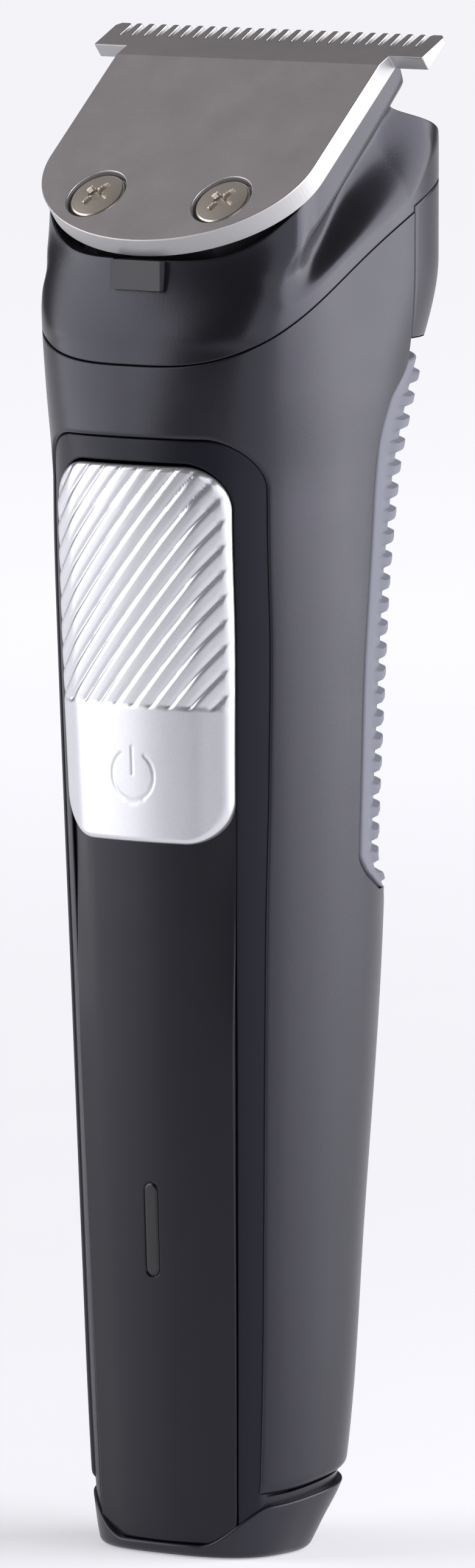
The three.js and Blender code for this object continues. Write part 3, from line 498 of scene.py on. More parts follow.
def silver_paint(name, colour):
    """Metallic paint: tiny flakes that change gloss and lightness, under a thin clear coat."""
    finish = Finish(name, colour, 0.34, 0.86, coat_weight=0.10, coat_roughness=0.15)
    flakes = finish.add("ShaderNodeTexVoronoi", {"feature": "F1"},
                        {"Vector": finish.place, "Scale": 1000 / 0.09}, "Color")
    sparkle = finish.add("ShaderNodeSeparateColor", {}, {0: flakes})
    slow = finish.noise(5.0)
    finish.set("Roughness", 0.30 + 0.05 * sparkle + 0.05 * (slow - 0.5))
    finish.shade(0.7 * sparkle + 0.3 * slow, 0.05)
    finish.bump(finish.noise(0.2, 3.0), 0.002)
    return finish.material


def blade_finish(name, colour, roughness):
    """The blade's steel: satin faces, and paler, duller ground side walls.

    A point is on a side wall where it lies under the top face: where its height over the face's plane, plus
    the bevel's fall past the fold, is below a small negative limit.
    """
    finish = Finish(name, colour, roughness, 1.0)
    streaks = finish.noise(0.12, 3.0, finish.stretched((14.0, 1.0, 1.0), (BLADE_ANGLE, 0, 0)))
    cloud = finish.noise(5.0, 4.0)
    specks = finish.noise(0.5, 2.0)
    c, s = math.cos(BLADE_ANGLE), math.sin(BLADE_ANGLE)
    dot = {"operation": "DOT_PRODUCT"}
    start_y = BLADE_Y + ROW_SHIFT
    height = 1000 * finish.add("ShaderNodeVectorMath", dot, {0: finish.place, 1: (0, -s, c)}, "Value")
    along = 1000 * finish.add("ShaderNodeVectorMath", dot, {0: finish.place, 1: (0, c, s)}, "Value")
    height = height - (BLADE_Z * c - start_y * s)
    along = along - (start_y * c + BLADE_Z * s)
    past_fold = along.math("MAXIMUM", along - BLADE_FOLD, 0.0)
    drop = height + math.tan(BEVEL_ANGLE) * past_fold
    side = drop.math("LESS_THAN", drop, -0.16)
    finish.set("Roughness", roughness + 0.14 * (cloud - 0.5) + 0.10 * (streaks - 0.5) + 0.04 * side)
    finish.set("Metallic", 1 - 0.6 * side)
    tone = (0.6 * cloud + 0.2 * streaks + 0.2 * specks).clamped()
    face = finish.mix(tone, tuple(0.77 * v for v in colour) + (1,), (0.65, 0.61, 0.585, 1))
    finish.set("Base Color", finish.mix(side, face, (0.42, 0.415, 0.42, 1)))
    finish.bump(streaks + 0.6 * specks, 0.004)
    return finish.material


def ground_steel(name, colour, roughness, turn=(0, 0, 0), blotch=0.10, warm=(1.05, 1.0, 0.95)):
    """Ground steel: fine streaks along one direction, cloudy satin blotches and a trace of warm tint."""
    finish = Finish(name, colour, roughness, 1.0)
    streaks = finish.noise(0.12, 3.0, finish.stretched((14.0, 1.0, 1.0), turn))
    cloud = finish.noise(4.5, 4.0)
    specks = finish.noise(0.5, 2.0)
    finish.set("Roughness", roughness + 0.16 * (cloud - 0.5) + 0.12 * (streaks - 0.5))
    finish.shade((0.55 * cloud + 0.25 * streaks + 0.2 * specks).clamped(), blotch, warm)
    finish.bump(streaks + 0.6 * specks, 0.004)
    return finish.material


def circuit_green(name, colour):
    """Printed circuit board: solder mask with a grid of lighter copper tracks under it."""
    finish = Finish(name, colour, 0.35)
    where = finish.stretched((1, 1, 1), (math.pi / 2, 0, 0))
    tracks = finish.add("ShaderNodeTexBrick", {"offset": 0.5}, {
        "Vector": where, "Scale": 1000 / 2.2, "Mortar Size": 0.012, "Mortar Smooth": 0.3,
    }, "Fac")
    finish.set("Base Color", finish.mix(tracks, (*colour, 1), (0.10, 0.30, 0.12, 1)))
    finish.set("Roughness", 0.30 + 0.2 * finish.noise(3.0))
    finish.bump(tracks, 0.02)
    return finish.material


def rolled_metal(name, colour, roughness):
    """Bare rolled metal: drawn streaks up its height, with a slow tarnish."""
    finish = Finish(name, colour, roughness, 1.0)
    streaks = finish.noise(0.15, 3.0, finish.stretched((1.0, 1.0, 12.0)))
    tarnish = finish.noise(3.0, 3.0)
    finish.set("Roughness", roughness + 0.15 * (tarnish - 0.5) + 0.12 * (streaks - 0.5))
    finish.shade(tarnish, 0.16)
    finish.bump(streaks, 0.004)
    return finish.material


def shrink_sleeve(name, colour):
    """Shrink sleeve: glossy film with soft wrinkles round the cell."""
    finish = Finish(name, colour, 0.28, coat_weight=0.3, coat_roughness=0.1)
    wrinkles = finish.noise(1.6, 2.0, finish.stretched((4.0, 4.0, 1.0)))
    finish.bump(wrinkles, 0.06)
    finish.set("Roughness", 0.22 + 0.16 * wrinkles)
    finish.shade(wrinkles, 0.12)
    return finish.material


COOL = (0.86, 0.85, 1.0, 1)  # tint of the gloss on the dark plastics
satin_black = moulded("satin_black", (0.0085, 0.0083, 0.0105), 0.32, specular_tint=COOL)
head_black = moulded("head_black", (0.0080, 0.0078, 0.0100), 0.29, specular_tint=COOL)
bezel_black = moulded("bezel_black", (0.0045, 0.0048, 0.0085), 0.38, 0.3, 0.003,
                      specular_ior_level=0.28, specular_tint=COOL)
panel_black = moulded("panel_black", (0.0035, 0.0035, 0.0045), 0.24, 0.4, 0.0012,
                      specular_ior_level=0.36, specular_tint=COOL)
grip_rubber = soft_rubber("grip_rubber", (0.140, 0.142, 0.176))
silver = silver_paint("silver_paint", (0.64, 0.64, 0.67))
smoked_lens = moulded("smoked_lens", (0.004, 0.004, 0.005), 0.20, 0.5, 0.001)
blade_steel = blade_finish("blade_steel", (0.58, 0.555, 0.575), 0.40)
screw_steel = ground_steel("screw_steel", (0.56, 0.52, 0.47), 0.30, (0.6, 0.3, 0.4), 0.16, (1.06, 1.0, 0.93))
inner_plastic = moulded("inner_plastic", (0.06, 0.06, 0.065), 0.5)
tab_plastic = moulded("tab_plastic", (0.035, 0.035, 0.04), 0.42)
white_plastic = moulded("white_plastic", (0.75, 0.74, 0.70), 0.45, 0.3, 0.004, 0.04)
board_green = circuit_green("board_green", (0.02, 0.12, 0.05))
copper = rolled_metal("copper", (0.60, 0.30, 0.12), 0.3)
can_steel = rolled_metal("can_steel", (0.52, 0.51, 0.49), 0.3)
cell_sleeve = shrink_sleeve("cell_sleeve", (0.04, 0.16, 0.42))
red_wire = moulded("red_wire", (0.42, 0.02, 0.015), 0.4)
black_wire = moulded("black_wire", (0.015, 0.015, 0.015), 0.4)


# ---------------------------------------------------------------- handle shells

def front_shell():
    """Front shell as one band from the arch of its front opening out to the grip edge and the seam.

    Each line of the band runs straight, in angle and share of height, from a point of the arch to a point of
    the outer edge. The inset is the largest fall of the rounded edges at the arch, outer edge and skirt.
    """
    edge, lip, seam_edge = 0.35, 0.8, 0.16
    corner_share = 0.86
    hook = np.arange(GRIP_Z - 0.6, GRIP_Z + 6, 0.16)
    heights = np.concatenate([EDGE_LINES * lip, np.arange(2, 100, 0.8)]) + SKIRT_Z + 1.4
    z_straight = np.unique(np.concatenate([heights[heights < ARCH_TOP - ARCH_CORNER], hook * 0.93]))
    z_straight = np.append(z_straight, ARCH_TOP - ARCH_CORNER)
    turn = np.linspace(0, math.pi / 2, 90)[1:]
    x_flat = np.linspace(ARCH_HALF - ARCH_CORNER, 0, 26)[1:]
    x = np.concatenate([
        through(ARCH_SIDES, z_straight),
        ARCH_HALF - ARCH_CORNER + ARCH_CORNER * np.cos(turn), x_flat,
    ])
    z = np.concatenate([
        z_straight, ARCH_TOP - ARCH_CORNER + ARCH_CORNER * np.sin(turn), np.full(len(x_flat), ARCH_TOP),
    ])
    inner_angle = angle_at_side(x, z)
    inner_share = share_of(front_y(x, z), z)
    inner_share = inner_share - inner_share[0] * (1 - inner_share)
    straight = len(z_straight)
    rising = int(0.45 * len(turn))
    outer_share = np.ones(len(x))
    outer_share[:straight] = inner_share[:straight] * corner_share / inner_share[straight - 1]
    outer_share[straight:straight + rising] = np.linspace(corner_share, 1, rising + 1)[1:]
    outer_angle = np.zeros(len(x))
    depth = np.full(len(x), PARTING_Y)
    for _ in range(12):
        height = skirt_z(depth) + outer_share * (seam_z(depth) - skirt_z(depth))
        depth = through(SHELL_EDGE, height)
        outer_angle = np.minimum(angle_at_depth(depth, height), math.radians(89.7))
    upper_corner = outer_angle[straight + rising]
    near_front = angle_at_side(10.5, seam_z(0.5))
    across = np.linspace(0, 1, len(turn) - rising + 1)
    turned = straight + len(turn)
    outer_angle[straight + rising - 1:turned] = upper_corner + across * (near_front - upper_corner)
    outer_angle[turned - 1:] = np.linspace(near_front, -math.pi / 2, len(x_flat) + 1)
    samples = np.linspace(0, 1, 24)
    angle = inner_angle[:, None] + samples * (outer_angle - inner_angle)[:, None]
    share = inner_share[:, None] + samples * (outer_share - inner_share)[:, None]
    line = on_body(angle, level(angle, share))
    length = np.linalg.norm(np.diff(line, axis=1), axis=2).sum(1)[:, None]
    even = np.linspace(0, 1, 36)[1:-1]
    start, stop = EDGE_LINES * edge / length, EDGE_LINES[::-1] * seam_edge / length
    middle = start[:, -1:] + even * (1 - stop[:, :1] - start[:, -1:])
    across = np.concatenate([start, middle, 1 - stop], 1)
    angle = inner_angle[:, None] + across * (outer_angle - inner_angle)[:, None]
    share = inner_share[:, None] + across * (outer_share - inner_share)[:, None]
    z = level(angle, share)
    y = on_body(angle, z)[..., 1]
    back_open = smooth(0, 0.8, through(STATIONS, z[:, -1:], 3) - PARTING_Y)
    inset = np.maximum(rounded(across * length, edge), back_open * rounded((1 - across) * length, seam_edge))
    inset = np.maximum(inset, rounded(z - skirt_z(y), lip))
    return slab(mirrored(on_body(angle, z, inset)), mirrored(on_body(angle, z, WALL)))


def rear_shell():
    """Rear shell: a tongue below the grip, a sunk wall behind the grip and a strip over it.

    Rows run up the back. Columns are even angles between the side edges, with lines over the rounded edges.
    """
    edge, hidden_rows, strip_rows = 0.25, 30, 30
    side = PARTING_Y + GAP
    heights = np.linspace(5, 20, 400)
    tip = np.interp(side, through(STATIONS, heights, 3), heights) + 0.05
    grow = np.linspace(0, 1, 90) ** 1.6
    tongue_top = GRIP_Z - GAP
    lower = np.concatenate([tip + grow * (tongue_top - 1 - tip), tongue_top - EDGE_LINES[::-1] * edge])
    strip_low = GRIP_Z + GRIP_HEIGHT + 2 * GAP
    hidden = np.linspace(tongue_top, strip_low, hidden_rows)
    rows_z = np.concatenate([lower, hidden, np.full(strip_rows, strip_low)])
    below_strip = len(lower) + hidden_rows
    in_strip_share = with_edges(0, 1, edge / 16, strip_rows - 2 * len(EDGE_LINES))
    strip_share = np.concatenate([np.zeros(below_strip), in_strip_share])
    base_inset = np.concatenate([np.zeros(len(lower)), np.full(hidden_rows, REAR_SEAT), np.zeros(strip_rows)])
    strip_side = np.full(strip_rows + 1, REAR_STRIP_Y + SEAM_GAP)
    side_y = np.concatenate([np.full(below_strip - 1, side), strip_side])
    edge_angle = angle_at_depth(side_y, rows_z)
    columns = with_edges(0, 1, 0.012, 60)
    angle = edge_angle[:, None] + columns * (math.pi - 2 * edge_angle)[:, None]
    z = np.repeat(rows_z[:, None], len(columns), 1)
    for _ in range(8):
        y = on_body(angle, z)[..., 1]
        top = seam_z(y) + REAR_STRIP_RISE
        strip_z = strip_low + strip_share[:, None] * (top - strip_low)
        z = np.where(strip_share[:, None] > 0, strip_z, rows_z[:, None])
        edge_angle = angle_at_depth(side_y[:, None], z)
        angle = edge_angle + columns * (math.pi - 2 * edge_angle)
    width = np.linalg.norm(np.diff(on_body(angle, z), axis=1), axis=2).sum(1)[:, None]
    from_side = np.minimum(columns, 1 - columns) * width
    inset = np.maximum(base_inset[:, None], rounded(from_side, edge))
    in_tongue = np.arange(len(rows_z))[:, None] < len(lower)
    inset = np.where(in_tongue, np.maximum(inset, rounded(tongue_top - z, edge)), inset)
    in_strip = strip_share[:, None] + 0 * z > 0
    top = seam_z(on_body(angle, z)[..., 1]) + REAR_STRIP_RISE
    inset = np.where(in_strip, np.maximum(inset, rounded(np.minimum(top - z, z - strip_low), edge)), inset)
    return slab(on_body(angle, z, inset), on_body(angle, z, REAR_SEAT + 1.5))


def grip_sleeve():
    """Ribbed rubber grip: a skin behind the front shell's edge, with level ribs that stop short of its sides.

    The skin sinks a little towards the waist. A rib stands out by its height times a flat-topped bump of the
    distance from its middle, times a ramp of the distance from the side.
    """
    edge, rib_height, rib_count = 0.35, 0.7, 23
    low, first, last = GRIP_Z + GAP, GRIP_Z + 1.9, GRIP_Z + 52.6
    pitch = (last - first) / (rib_count - 1)
    within = np.array([-0.5, -0.38, -0.31, -0.25, -0.19, -0.12, 0, 0.12, 0.19, 0.25, 0.31, 0.38])
    ribs = (first + pitch * (np.arange(rib_count)[:, None] + within)).ravel()
    high = GRIP_Z + 54.4
    rows = np.concatenate([low + EDGE_LINES * edge, ribs[ribs > low + 0.7]])
    rows = np.concatenate([rows[rows < high - 0.8], high - EDGE_LINES[::-1] * edge])
    columns = with_edges(0, 1, 0.009, 84)
    z = np.repeat(rows[:, None], len(columns), 1)
    side_y = through(SHELL_EDGE, np.maximum(z - GAP, 0)) + GAP
    side = angle_at_depth(side_y, z)
    angle = side + columns * (math.pi - 2 * side)
    top = high + 0.064 * (on_body(angle, z)[..., 1] - PARTING_Y)
    z = z + (top - high) * smooth(high - 6, high, z)
    width = np.linalg.norm(np.diff(on_body(angle, z), axis=1), axis=2).sum(1)[:, None]
    from_side = np.minimum(columns, 1 - columns) * width
    from_end = np.minimum(z - low, top - z)
    waist = np.interp(z - GRIP_Z, *GRIP_WAIST.T)
    sink = waist * smooth(0.2, 7, from_side)
    nearest = np.abs((z - first) / pitch - np.round((z - first) / pitch)) * pitch
    in_range = (z > first - pitch / 2) & (z < last + pitch / 2)
    rib = in_range * (1 - smooth(0.38, 0.80, nearest)) * smooth(2.0, 3.6, from_side)
    inset = sink - rib_height * rib
    inset = inset + rounded(from_side, edge) + rounded(from_end, edge)
    return slab(on_body(angle, z, inset), on_body(angle, z, WALL))


def bezel_frame():
    """Bezel: a profile with two rounded edges carried between two arches, one inside the other."""
    outer_edge, inner_edge, foot_edge = 0.25, 0.20, 0.3
    outer = (ARCH_SIDES, ARCH_GAP, ARCH_TOP - ARCH_GAP, ARCH_CORNER - ARCH_GAP)
    inner = (WINDOW_SIDES, 0, SLIDER_TOP + GAP, SLIDER_CORNER_TOP + GAP)
    straight = np.concatenate([EDGE_LINES * foot_edge / 100, np.linspace(0.01, 1, 150)])
    turn = np.linspace(0, math.pi / 2, 40)[1:]
    flat = np.linspace(1, 0, 20)[1:]

    def arch(sides, gap, top, corner):
        up = BEZEL_BOTTOM + straight * (top - corner - BEZEL_BOTTOM)
        half = sides[-1, 1] - gap
        round_x = half - corner + corner * np.cos(turn)
        x = np.concatenate([through(sides, up) - gap, round_x, (half - corner) * flat])
        z = np.concatenate([up, top - corner + corner * np.sin(turn), np.full(len(flat), top)])
        return x, z

    across = with_edges(0, 1, outer_edge / 2.4, 12)
    x0, z0 = arch(*outer)
    x1, z1 = arch(*inner)
    x = x0[:, None] + across * (x1 - x0)[:, None]
    z = z0[:, None] + across * (z1 - z0)[:, None]
    width = np.hypot(x1 - x0, z1 - z0)[:, None]
    fall = np.maximum(rounded(across * width, outer_edge), rounded((1 - across) * width, inner_edge))
    fall = np.maximum(fall, rounded(z - z[:1], foot_edge))
    y = front_y(x, z, BEZEL_SINK + fall)
    y_back = front_y(x, z, CHANNEL_DEPTH - GAP)
    return slab(mirrored(np.stack([x, y, z], -1)), mirrored(np.stack([x, y_back, z], -1)))


# ---------------------------------------------------------------- front panel and slider

FACET_RUN = np.linspace(0, 12, 601)
CROWN = 0.13  # depth of the crown where the facets begin, over their distance from the middle
CROWN_CURVE = CROWN * np.minimum(FACET_RUN, FACET_X) ** 2 / FACET_X
CROWN_DEPTH = CROWN_CURVE + 2 * CROWN * np.maximum(FACET_RUN - FACET_X, 0)
FACET_RISE = smooth(FACET_X - 1.3, FACET_X + 0.8, FACET_RUN)
FACET_STEPS = (FACET_RISE[1:] + FACET_RISE[:-1]) / 2 * np.diff(FACET_RUN)
FACET_DEPTH = np.concatenate([[0], np.cumsum(FACET_STEPS)])


def faceted_y(x, z, inset):
    """Depth of the faceted front: the middle line's depth, plus a crown, plus the side facets.

    The crown is a parabola in |x| and then its tangent. The facets are the integral of a step over a short
    radius, times a slope that is steeper at the slider. The profile is scaled to the panel's width there.
    """
    scale = (panel_half(z) - FACET_WIDTH) / FACET_X
    slope = 0.02 + 0.30 * smooth(50, 74, z)
    run = np.abs(x) / scale
    crown, facet = np.interp(run, FACET_RUN, CROWN_DEPTH), np.interp(run, FACET_RUN, FACET_DEPTH)
    return through(STATIONS, z, 2) + inset + scale * (crown + slope * facet)


def panel_half(z):
    """Half width of the panel and the slider: the window's, less a small gap."""
    return through(WINDOW_SIDES, z) - PANEL_GAP


def corner_half(z, half, bottom, top, low_corner, high_corner):
    """Half width of an upright outline with round corners at a height."""
    low = np.clip(bottom + low_corner - z, 0, low_corner) if low_corner else 0 * z
    high = np.clip(z - top + high_corner, 0, high_corner)
    return (half - low_corner + np.sqrt(np.maximum(low_corner**2 - low**2, 0))
            - high_corner + np.sqrt(high_corner**2 - high**2))


def outline_distance(x, z, half, bottom, top, low_corner, high_corner):
    """Distance inwards from an upright outline with round corners."""
    x = np.abs(x)
    plain = np.minimum(half - x, np.minimum(z - bottom, top - z))
    low = low_corner - np.hypot(x - half + low_corner, bottom + low_corner - z)
    high = high_corner - np.hypot(x - half + high_corner, z - top + high_corner)
    in_low = (x > half - low_corner) & (z < bottom + low_corner)
    in_high = (x > half - high_corner) & (z > top - high_corner)
    return np.where(in_low, low, np.where(in_high, high, plain))


def corner_rows(bottom, top, low_corner, high_corner, step, edge):
    """Row heights of an upright outline: even rows, and closer ones round its corners."""
    turn = np.linspace(0, math.pi / 2, 22)
    low = bottom + low_corner * (1 - np.cos(turn)) if low_corner else bottom + EDGE_LINES * edge
    high = top - high_corner * (1 - np.cos(turn))
    even = np.arange(bottom + max(low_corner, 0.5), top - high_corner, step)
    near = np.concatenate([bottom + EDGE_LINES * edge, top - EDGE_LINES * edge])
    rows = np.unique(np.round(np.concatenate([low, high, even, near]), 4))
    return rows[np.concatenate([[True], np.diff(rows) > 0.012])]


def slider_relief(x, z):
    """Depth pressed into the slider: slanted saw-tooth grooves above a line, and a power symbol under it."""
    phase = (z - RIB_SLOPE * x) / RIB_PITCH_Z
    share = phase - np.floor(phase)
    pitch = RIB_PITCH_Z / math.sqrt(1 + RIB_SLOPE**2)
    groove_width, groove_depth, tooth_depth = 0.26, 0.14, 0.15
    groove = np.exp(-(((share - 0.5) * pitch) / groove_width) ** 2)
    ribs = groove_depth * groove + tooth_depth * (0.5 - share + smooth(0.40, 0.60, share))
    ribs = ribs * smooth(RIB_END_Z, RIB_END_Z + 0.5, z)
    up = z - POWER_Z
    radius, angle = np.hypot(x, up), np.arctan2(np.abs(x), up)
    line, line_depth, ring_radius, ring_gap, bar_top = 0.15, 0.05, 2.55, math.radians(32), 3.0
    ring = (1 - smooth(line * 0.6, line * 1.5, np.abs(radius - ring_radius))) * (angle > ring_gap)
    bar = (1 - smooth(line * 0.6, line * 1.5, np.abs(x))) * (up > 0) * (up < bar_top)
    return ribs + line_depth * np.maximum(ring, bar)


def slide_button():
    """Slider: an upright outline with round corners on the faceted front, with soft edges and its relief."""
    shape = (SLIDER_BOTTOM, SLIDER_TOP, SLIDER_CORNER_BOTTOM, SLIDER_CORNER_TOP)
    edge = 0.55
    rows = corner_rows(*shape, 0.15, edge)
    columns = with_edges(-1, 1, edge / WINDOW_HALF, 140)
    z = np.repeat(rows[:, None], len(columns), 1)
    x = columns * corner_half(z, panel_half(z), *shape)
    inset = -SLIDER_PROUD + rounded(outline_distance(x, z, panel_half(z), *shape), edge)
    y = faceted_y(x, z, inset + slider_relief(x, z))
    y_back = faceted_y(x, z, SLIDER_THICKNESS - SLIDER_PROUD)
    return slab(np.stack([x, np.minimum(y, y_back - 0.1), z], -1), np.stack([x, y_back, z], -1))


def capsule_distance(x, z, half, bottom, top):
    """Distance outwards from an upright capsule."""
    beyond = np.maximum(np.maximum(bottom + half - z, z - top + half), 0)
    return np.hypot(x, beyond) - half


def panel_cover():
    """Front panel: the faceted front from the skirt up to the arch, with a slot round the status lens."""
    edge = 0.15
    shape = (PANEL_BOTTOM, SLIDER_TOP, 0, SLIDER_CORNER_TOP)
    fine = np.arange(LENS_BOTTOM - 1, LENS_TOP + 1, 0.12)
    rows = np.unique(np.round(np.concatenate([corner_rows(*shape, 0.8, edge), fine]), 4))
    near_slot = np.linspace(-1.4, 1.4, 29) / WINDOW_HALF
    columns = np.unique(np.round(np.concatenate([with_edges(-1, 1, edge / WINDOW_HALF, 70), near_slot]), 5))
    z = np.repeat(rows[:, None], len(columns), 1)
    x = columns * corner_half(z, panel_half(z), *shape)
    slot = 1 - smooth(0.04, 0.16, capsule_distance(x, z, LENS_HALF, LENS_BOTTOM, LENS_TOP))
    inset = panel_sink(z) + rounded(outline_distance(x, z, panel_half(z), *shape), edge) + 0.16 * slot
    y = faceted_y(x, z, inset)
    y_back = np.maximum(faceted_y(x, z, CHANNEL_DEPTH - GAP), y + 0.2)
    return slab(np.stack([x, y, z], -1), np.stack([x, y_back, z], -1))


def panel_sink(z):
    """How far the panel lies behind the body's front line: a fixed depth behind the slider.

    Below the slider it is what brings the panel's edge level with the bezel, within 0 and that depth.
    """
    edge = panel_half(z)
    flush = np.clip(front_y(edge, z, BEZEL_SINK) - faceted_y(edge, z, 0), 0, PANEL_SINK)
    return flush + (PANEL_SINK - flush) * smooth(48, 69, z)


def status_lens():
    """Status lens: an upright capsule with a low crown, just under the panel's face."""
    turn = np.linspace(0, math.pi / 2, 12)
    low = LENS_BOTTOM + LENS_HALF * (1 - np.cos(turn))
    high = LENS_TOP - LENS_HALF * (1 - np.cos(turn))[::-1]
    rows = np.concatenate([low, np.linspace(low[-1], high[0], 22)[1:-1], high])
    columns = np.sin(np.linspace(-math.pi / 2, math.pi / 2, 17))
    z = np.repeat(rows[:, None], len(columns), 1)
    x = columns * corner_half(z, LENS_HALF, LENS_BOTTOM, LENS_TOP, LENS_HALF, LENS_HALF)
    fall = rounded(-capsule_distance(x, z, LENS_HALF, LENS_BOTTOM, LENS_TOP), 0.25)
    y = faceted_y(x, z, panel_sink(z) + 0.03 + 0.5 * fall)
    return slab(np.stack([x, y, z], -1), np.stack([x, y + 1.2, z], -1))


# ---------------------------------------------------------------- base

def base_cover():
    """Base cap: rings of the body's outline from the underside up the outside, over the rim and down inside.

    At the sides and back the upper part steps in, which leaves a groove under the shells.
    """
    angle = np.linspace(0, 2 * math.pi, 241)[:-1]
    step, groove = 0.3, 0.7
    front = smooth(-0.45, -0.86, np.sin(angle))
    outside = on_body(angle, np.full_like(angle, 4.0))
    shoulder = (1 - front) * (skirt_z(outside[:, 1]) - 1.1) + front * 1.25
    under = on_body(angle, np.zeros_like(angle), BASE_ROUND)
    rings = [BASE_MIDDLE + (under - BASE_MIDDLE) * [share, share, 1] for share in (0.02, 0.5, 0.9)]
    for turn in np.linspace(0, math.pi / 2, 6):
        height, inset = BASE_ROUND * (1 - np.cos(turn)), BASE_ROUND * (1 - np.sin(turn))
        rings.append(on_body(angle, height + 0 * angle, inset))
    for share in np.linspace(0.15, 0.85, 8):
        rings.append(on_body(angle, BASE_ROUND + share * (shoulder - BASE_ROUND - step)))
    for turn in np.linspace(0, math.pi / 2, 7):
        height, inset = shoulder - step * (1 - np.sin(turn)), step * (1 - np.cos(turn))
        rings.append(on_body(angle, height, inset + 0 * angle))
    rings.append(on_body(angle, shoulder + 0.02, groove + front))
    top = skirt_z(on_body(angle, shoulder + 1.4)[:, 1]) - GAP
    rings.append(on_body(angle, (shoulder + top) / 2, groove + front))
    rings.append(on_body(angle, top, groove + front))
    rings.append(on_body(angle, top, BASE_WALL + 0 * angle))
    inner = on_body(angle, BASE_FLOOR + 0 * angle, BASE_WALL)
    rings.append(inner)
    rings.append(BASE_MIDDLE + (inner - BASE_MIDDLE) * [0.05, 0.05, 1])
    return ring_solid(np.stack(rings))


def upright(name, radius, x, y, low, high, sides=48):
    """Round cutting rod."""
    turn = np.linspace(0, 2 * math.pi, sides + 1)[:-1]
    ring = np.stack([x + radius * np.cos(turn), y + radius * np.sin(turn), 0 * turn], -1)
    return mesh_object(name, *ring_solid(np.stack([ring + [0, 0, low], ring + [0, 0, high]])))


def box_tool(name, low, high):
    """Rectangular cutting block between two corners in the row frame, in metres."""
    x0, y0, z0 = low
    x1, y1, z1 = high
    ring = np.array([[x0, y0, 0], [x1, y0, 0], [x1, y1, 0], [x0, y1, 0]]) * 1000 - [0, ROW_SHIFT, 0]
    return mesh_object(name, *ring_solid(np.stack([ring + [0, 0, z0 * 1000], ring + [0, 0, z1 * 1000]])))


def cut_base(made):
    """Opens the base cap for the charging socket and the two screws, where their CAD nodes are."""
    tools = []
    clear = GAP / 1000
    for node in ("base_screw_left", "base_screw_right"):
        low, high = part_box(node)
        x, y = 500 * (low.x + high.x), 500 * (low.y + high.y) - ROW_SHIFT
        radius = 500 * (high.x - low.x)
        tools.append(upright("head_" + node, radius + GAP, x, y, -1, 1.9))
        tools.append(upright("shank_" + node, 1.3, x, y, -1, 5))
    low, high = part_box("charge_socket")
    corners = (low.x - clear, low.y - clear, -0.001), (high.x + clear, high.y + clear, 0.004)
    tools.append(box_tool("socket_opening", *corners))
    return cut(made, *tools)


# ---------------------------------------------------------------- head

def nose_gap(angle):
    """How far the body's outline stands outside the underside of the blade's nose, at an angle.

    The nose is an ellipse in plan: its distance from the body's middle line comes from a quadratic.
    """
    _, middle, _, _ = section(NOSE_Z, 0.0)
    c, s = np.cos(angle), np.sin(angle)
    deep = BLADE_NOSE * math.cos(BLADE_ANGLE)
    centre = BLADE_Y + deep + BLADE_THICKNESS * math.sin(BLADE_ANGLE) - middle
    square = (c / BLADE_HALF) ** 2 + (s / deep) ** 2
    across = -s * centre / deep**2
    reach = (-across + np.sqrt(np.maximum(across**2 - square * ((centre / deep) ** 2 - 1), 0))) / square
    body = on_body(angle, np.full_like(angle, NOSE_Z))
    radius = np.hypot(body[:, 0], body[:, 1] - middle)
    return np.clip((radius - reach) * BODY_HALF_WIDTH / radius, 0, 2.0)


